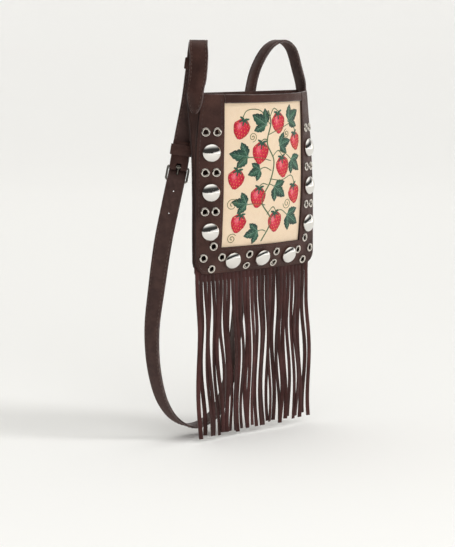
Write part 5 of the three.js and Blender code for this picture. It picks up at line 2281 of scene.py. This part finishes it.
@dataclass
class Studio:
    """Pale sweep, soft lights and the camera."""

    eye: tuple[float, float, float] = (-1110.0, -1283.0, 4.5)
    heading: float = -40.0
    pitch: float = 7.9
    focus_px: float = 1700.0
    image_px: tuple[int, int] = (455, 547)
    sensor: float = 36.0
    centre: tuple[float, float, float] = (0.0, 0.0, -190.0)

    def axes(self) -> tuple[Vector, Vector]:
        """Return the level directions ahead of the camera and to its right."""
        angle = math.radians(self.heading)
        return Vector((-math.sin(angle), math.cos(angle), 0)), Vector((math.cos(angle), math.sin(angle), 0))

    def build(self) -> None:
        """Build the camera, the sweep and the lights."""
        bpy.context.scene.view_settings.view_transform = "Standard"
        self.camera()
        self.sweep()
        self.lights()
        self.world()

    def camera(self) -> None:
        """Make the camera at the photograph's place and angle."""
        data = bpy.data.cameras.new("camera")
        data.sensor_width = self.sensor
        data.lens = self.focus_px / max(self.image_px) * self.sensor
        data.clip_start, data.clip_end = 0.05, 60.0
        camera = linked("camera", data)
        ahead, _ = self.axes()
        dip = math.radians(self.pitch)
        look = ahead * math.cos(dip) - Vector((0, 0, math.sin(dip)))
        camera.location = Vector(self.eye) * MM
        camera.rotation_euler = look.to_track_quat("-Z", "Y").to_euler()
        bpy.context.scene.camera = camera

    def sweep(self) -> None:
        """Make the floor that bends up into the backdrop, far behind the bag."""
        ahead, right = self.axes()
        base = Vector((0, 0, FLOOR_Z * MM))
        near, bend, radius, tall, half = -2.4, 2.6, 1.6, 3.0, 9.0
        profile = [(near, 0.0), (bend, 0.0)]
        steps = 12
        for k in range(1, steps + 1):
            angle = k / steps * math.pi / 2
            profile.append((bend + radius * math.sin(angle), radius * (1 - math.cos(angle))))
        profile.append((bend + radius, tall))
        bm = bmesh.new()
        verts = [bm.verts.new(base + ahead * a + Vector((0, 0, h)) - right * half) for a, h in profile]
        edges = [bm.edges.new(pair) for pair in zip(verts, verts[1:])]
        made = bmesh.ops.extrude_edge_only(bm, edges=edges)
        moved = [item for item in made["geom"] if isinstance(item, BMVert)]
        bmesh.ops.translate(bm, vec=right * 2 * half, verts=moved)
        bmesh.ops.recalc_face_normals(bm, faces=bm.faces)
        for face in bm.faces:
            face.smooth = True
        mesh = meshed("paper_sweep", bm)
        mesh.materials.append(StudioFinish().make())
        floor = linked("paper_sweep", mesh)

    def lights(self) -> None:
        """Hang a soft sun on the right, a fill in front and a long white board for the metal to mirror."""
        ahead, right = self.axes()
        up = Vector((0, 0, 1))
        board = {"shape": "RECTANGLE", "size": 4.8, "size_y": 1.0}
        self.lamp("key", "SUN", right * 0.76 - ahead * 0.17 + up * 0.62, 0.95, False, angle=math.radians(14))
        self.lamp("fill", "AREA", right * 0.7 - ahead * 1.8 + up * 0.55, 12.2, False, size=1.2)
        self.lamp("board", "AREA", right * 1.97 - ahead * 0.35 - up * 0.2, 13.4, True, roll=8, **board)

    def lamp(
        self,
        name: str,
        kind: str,
        offset: Vector,
        power: float,
        mirrored: bool,
        roll: float = 0.0,
        **settings: object,
    ) -> None:
        """Hang one light that looks at the bag.

        Args:
            name: Its name.
            kind: AREA for a softbox, SUN for light that falls the same everywhere.
            offset: Where it hangs, from the bag's middle, in metres.
            power: Its power in watts, for a sun in watts per square metre.
            mirrored: Whether it is there for what metal and leather mirror, and not to light them.
            roll: How far it is rolled about its axis, in degrees.
            settings: Its other settings.
        """
        data = bpy.data.lights.new(name, kind)
        data.energy = power
        for setting, value in settings.items():
            setattr(data, setting, value)
        light = linked(name, data)
        light.location = Vector(self.centre) * MM + offset
        turn = (-offset).to_track_quat("-Z", "Y") @ Quaternion((0, 0, 1), math.radians(roll))
        light.rotation_euler = turn.to_euler()
        light.visible_glossy, light.visible_diffuse = mirrored, not mirrored

    def world(self) -> None:
        """Make the room: pale to the camera, dark at eye level for the metal to mirror, light overhead."""
        world = bpy.data.worlds.new("room")
        world.use_nodes = True
        bpy.context.scene.world = world
        tree = world.node_tree
        tree.nodes.clear()
        place = add_node(tree, "TexCoord").outputs["Generated"]
        up = add_node(tree, "SeparateXYZ", {"Vector": place}).outputs["Z"]
        levels = {"From Min": 0.37, "From Max": 0.98, "To Min": 0.05, "To Max": 1.5}
        rise = add_node(tree, "MapRange", {"interpolation_type": "SMOOTHSTEP", **levels, "Value": up})
        pale = {"Color": linear("#F3F3F0")}
        room = add_node(tree, "Background", {**pale, "Strength": rise})
        seen = add_node(tree, "Background", {**pale, "Strength": 1.0})
        both = add_node(tree, "MixShader", {0: add_node(tree, "LightPath"), 1: room, 2: seen})
        add_node(tree, "OutputWorld", {"Surface": both})


def main() -> None:
    """Build the bag's looks in order."""
    logging.basicConfig(level=logging.INFO, format="%(name)s: %(message)s")
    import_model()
    form, finishes = BagForm(), Finishes()
    Studio().build()
    hardware = Hardware(form, finishes)
    LeatherBody(form, finishes).build(hardware.eyelets(), hardware.eyelet_barrel + form.gap)
    Embroidery(form, finishes).build()
    Strap(form, finishes).build()
    Fringe(form, finishes).build()
    hardware.build()


if __name__ == "__main__":
    main()
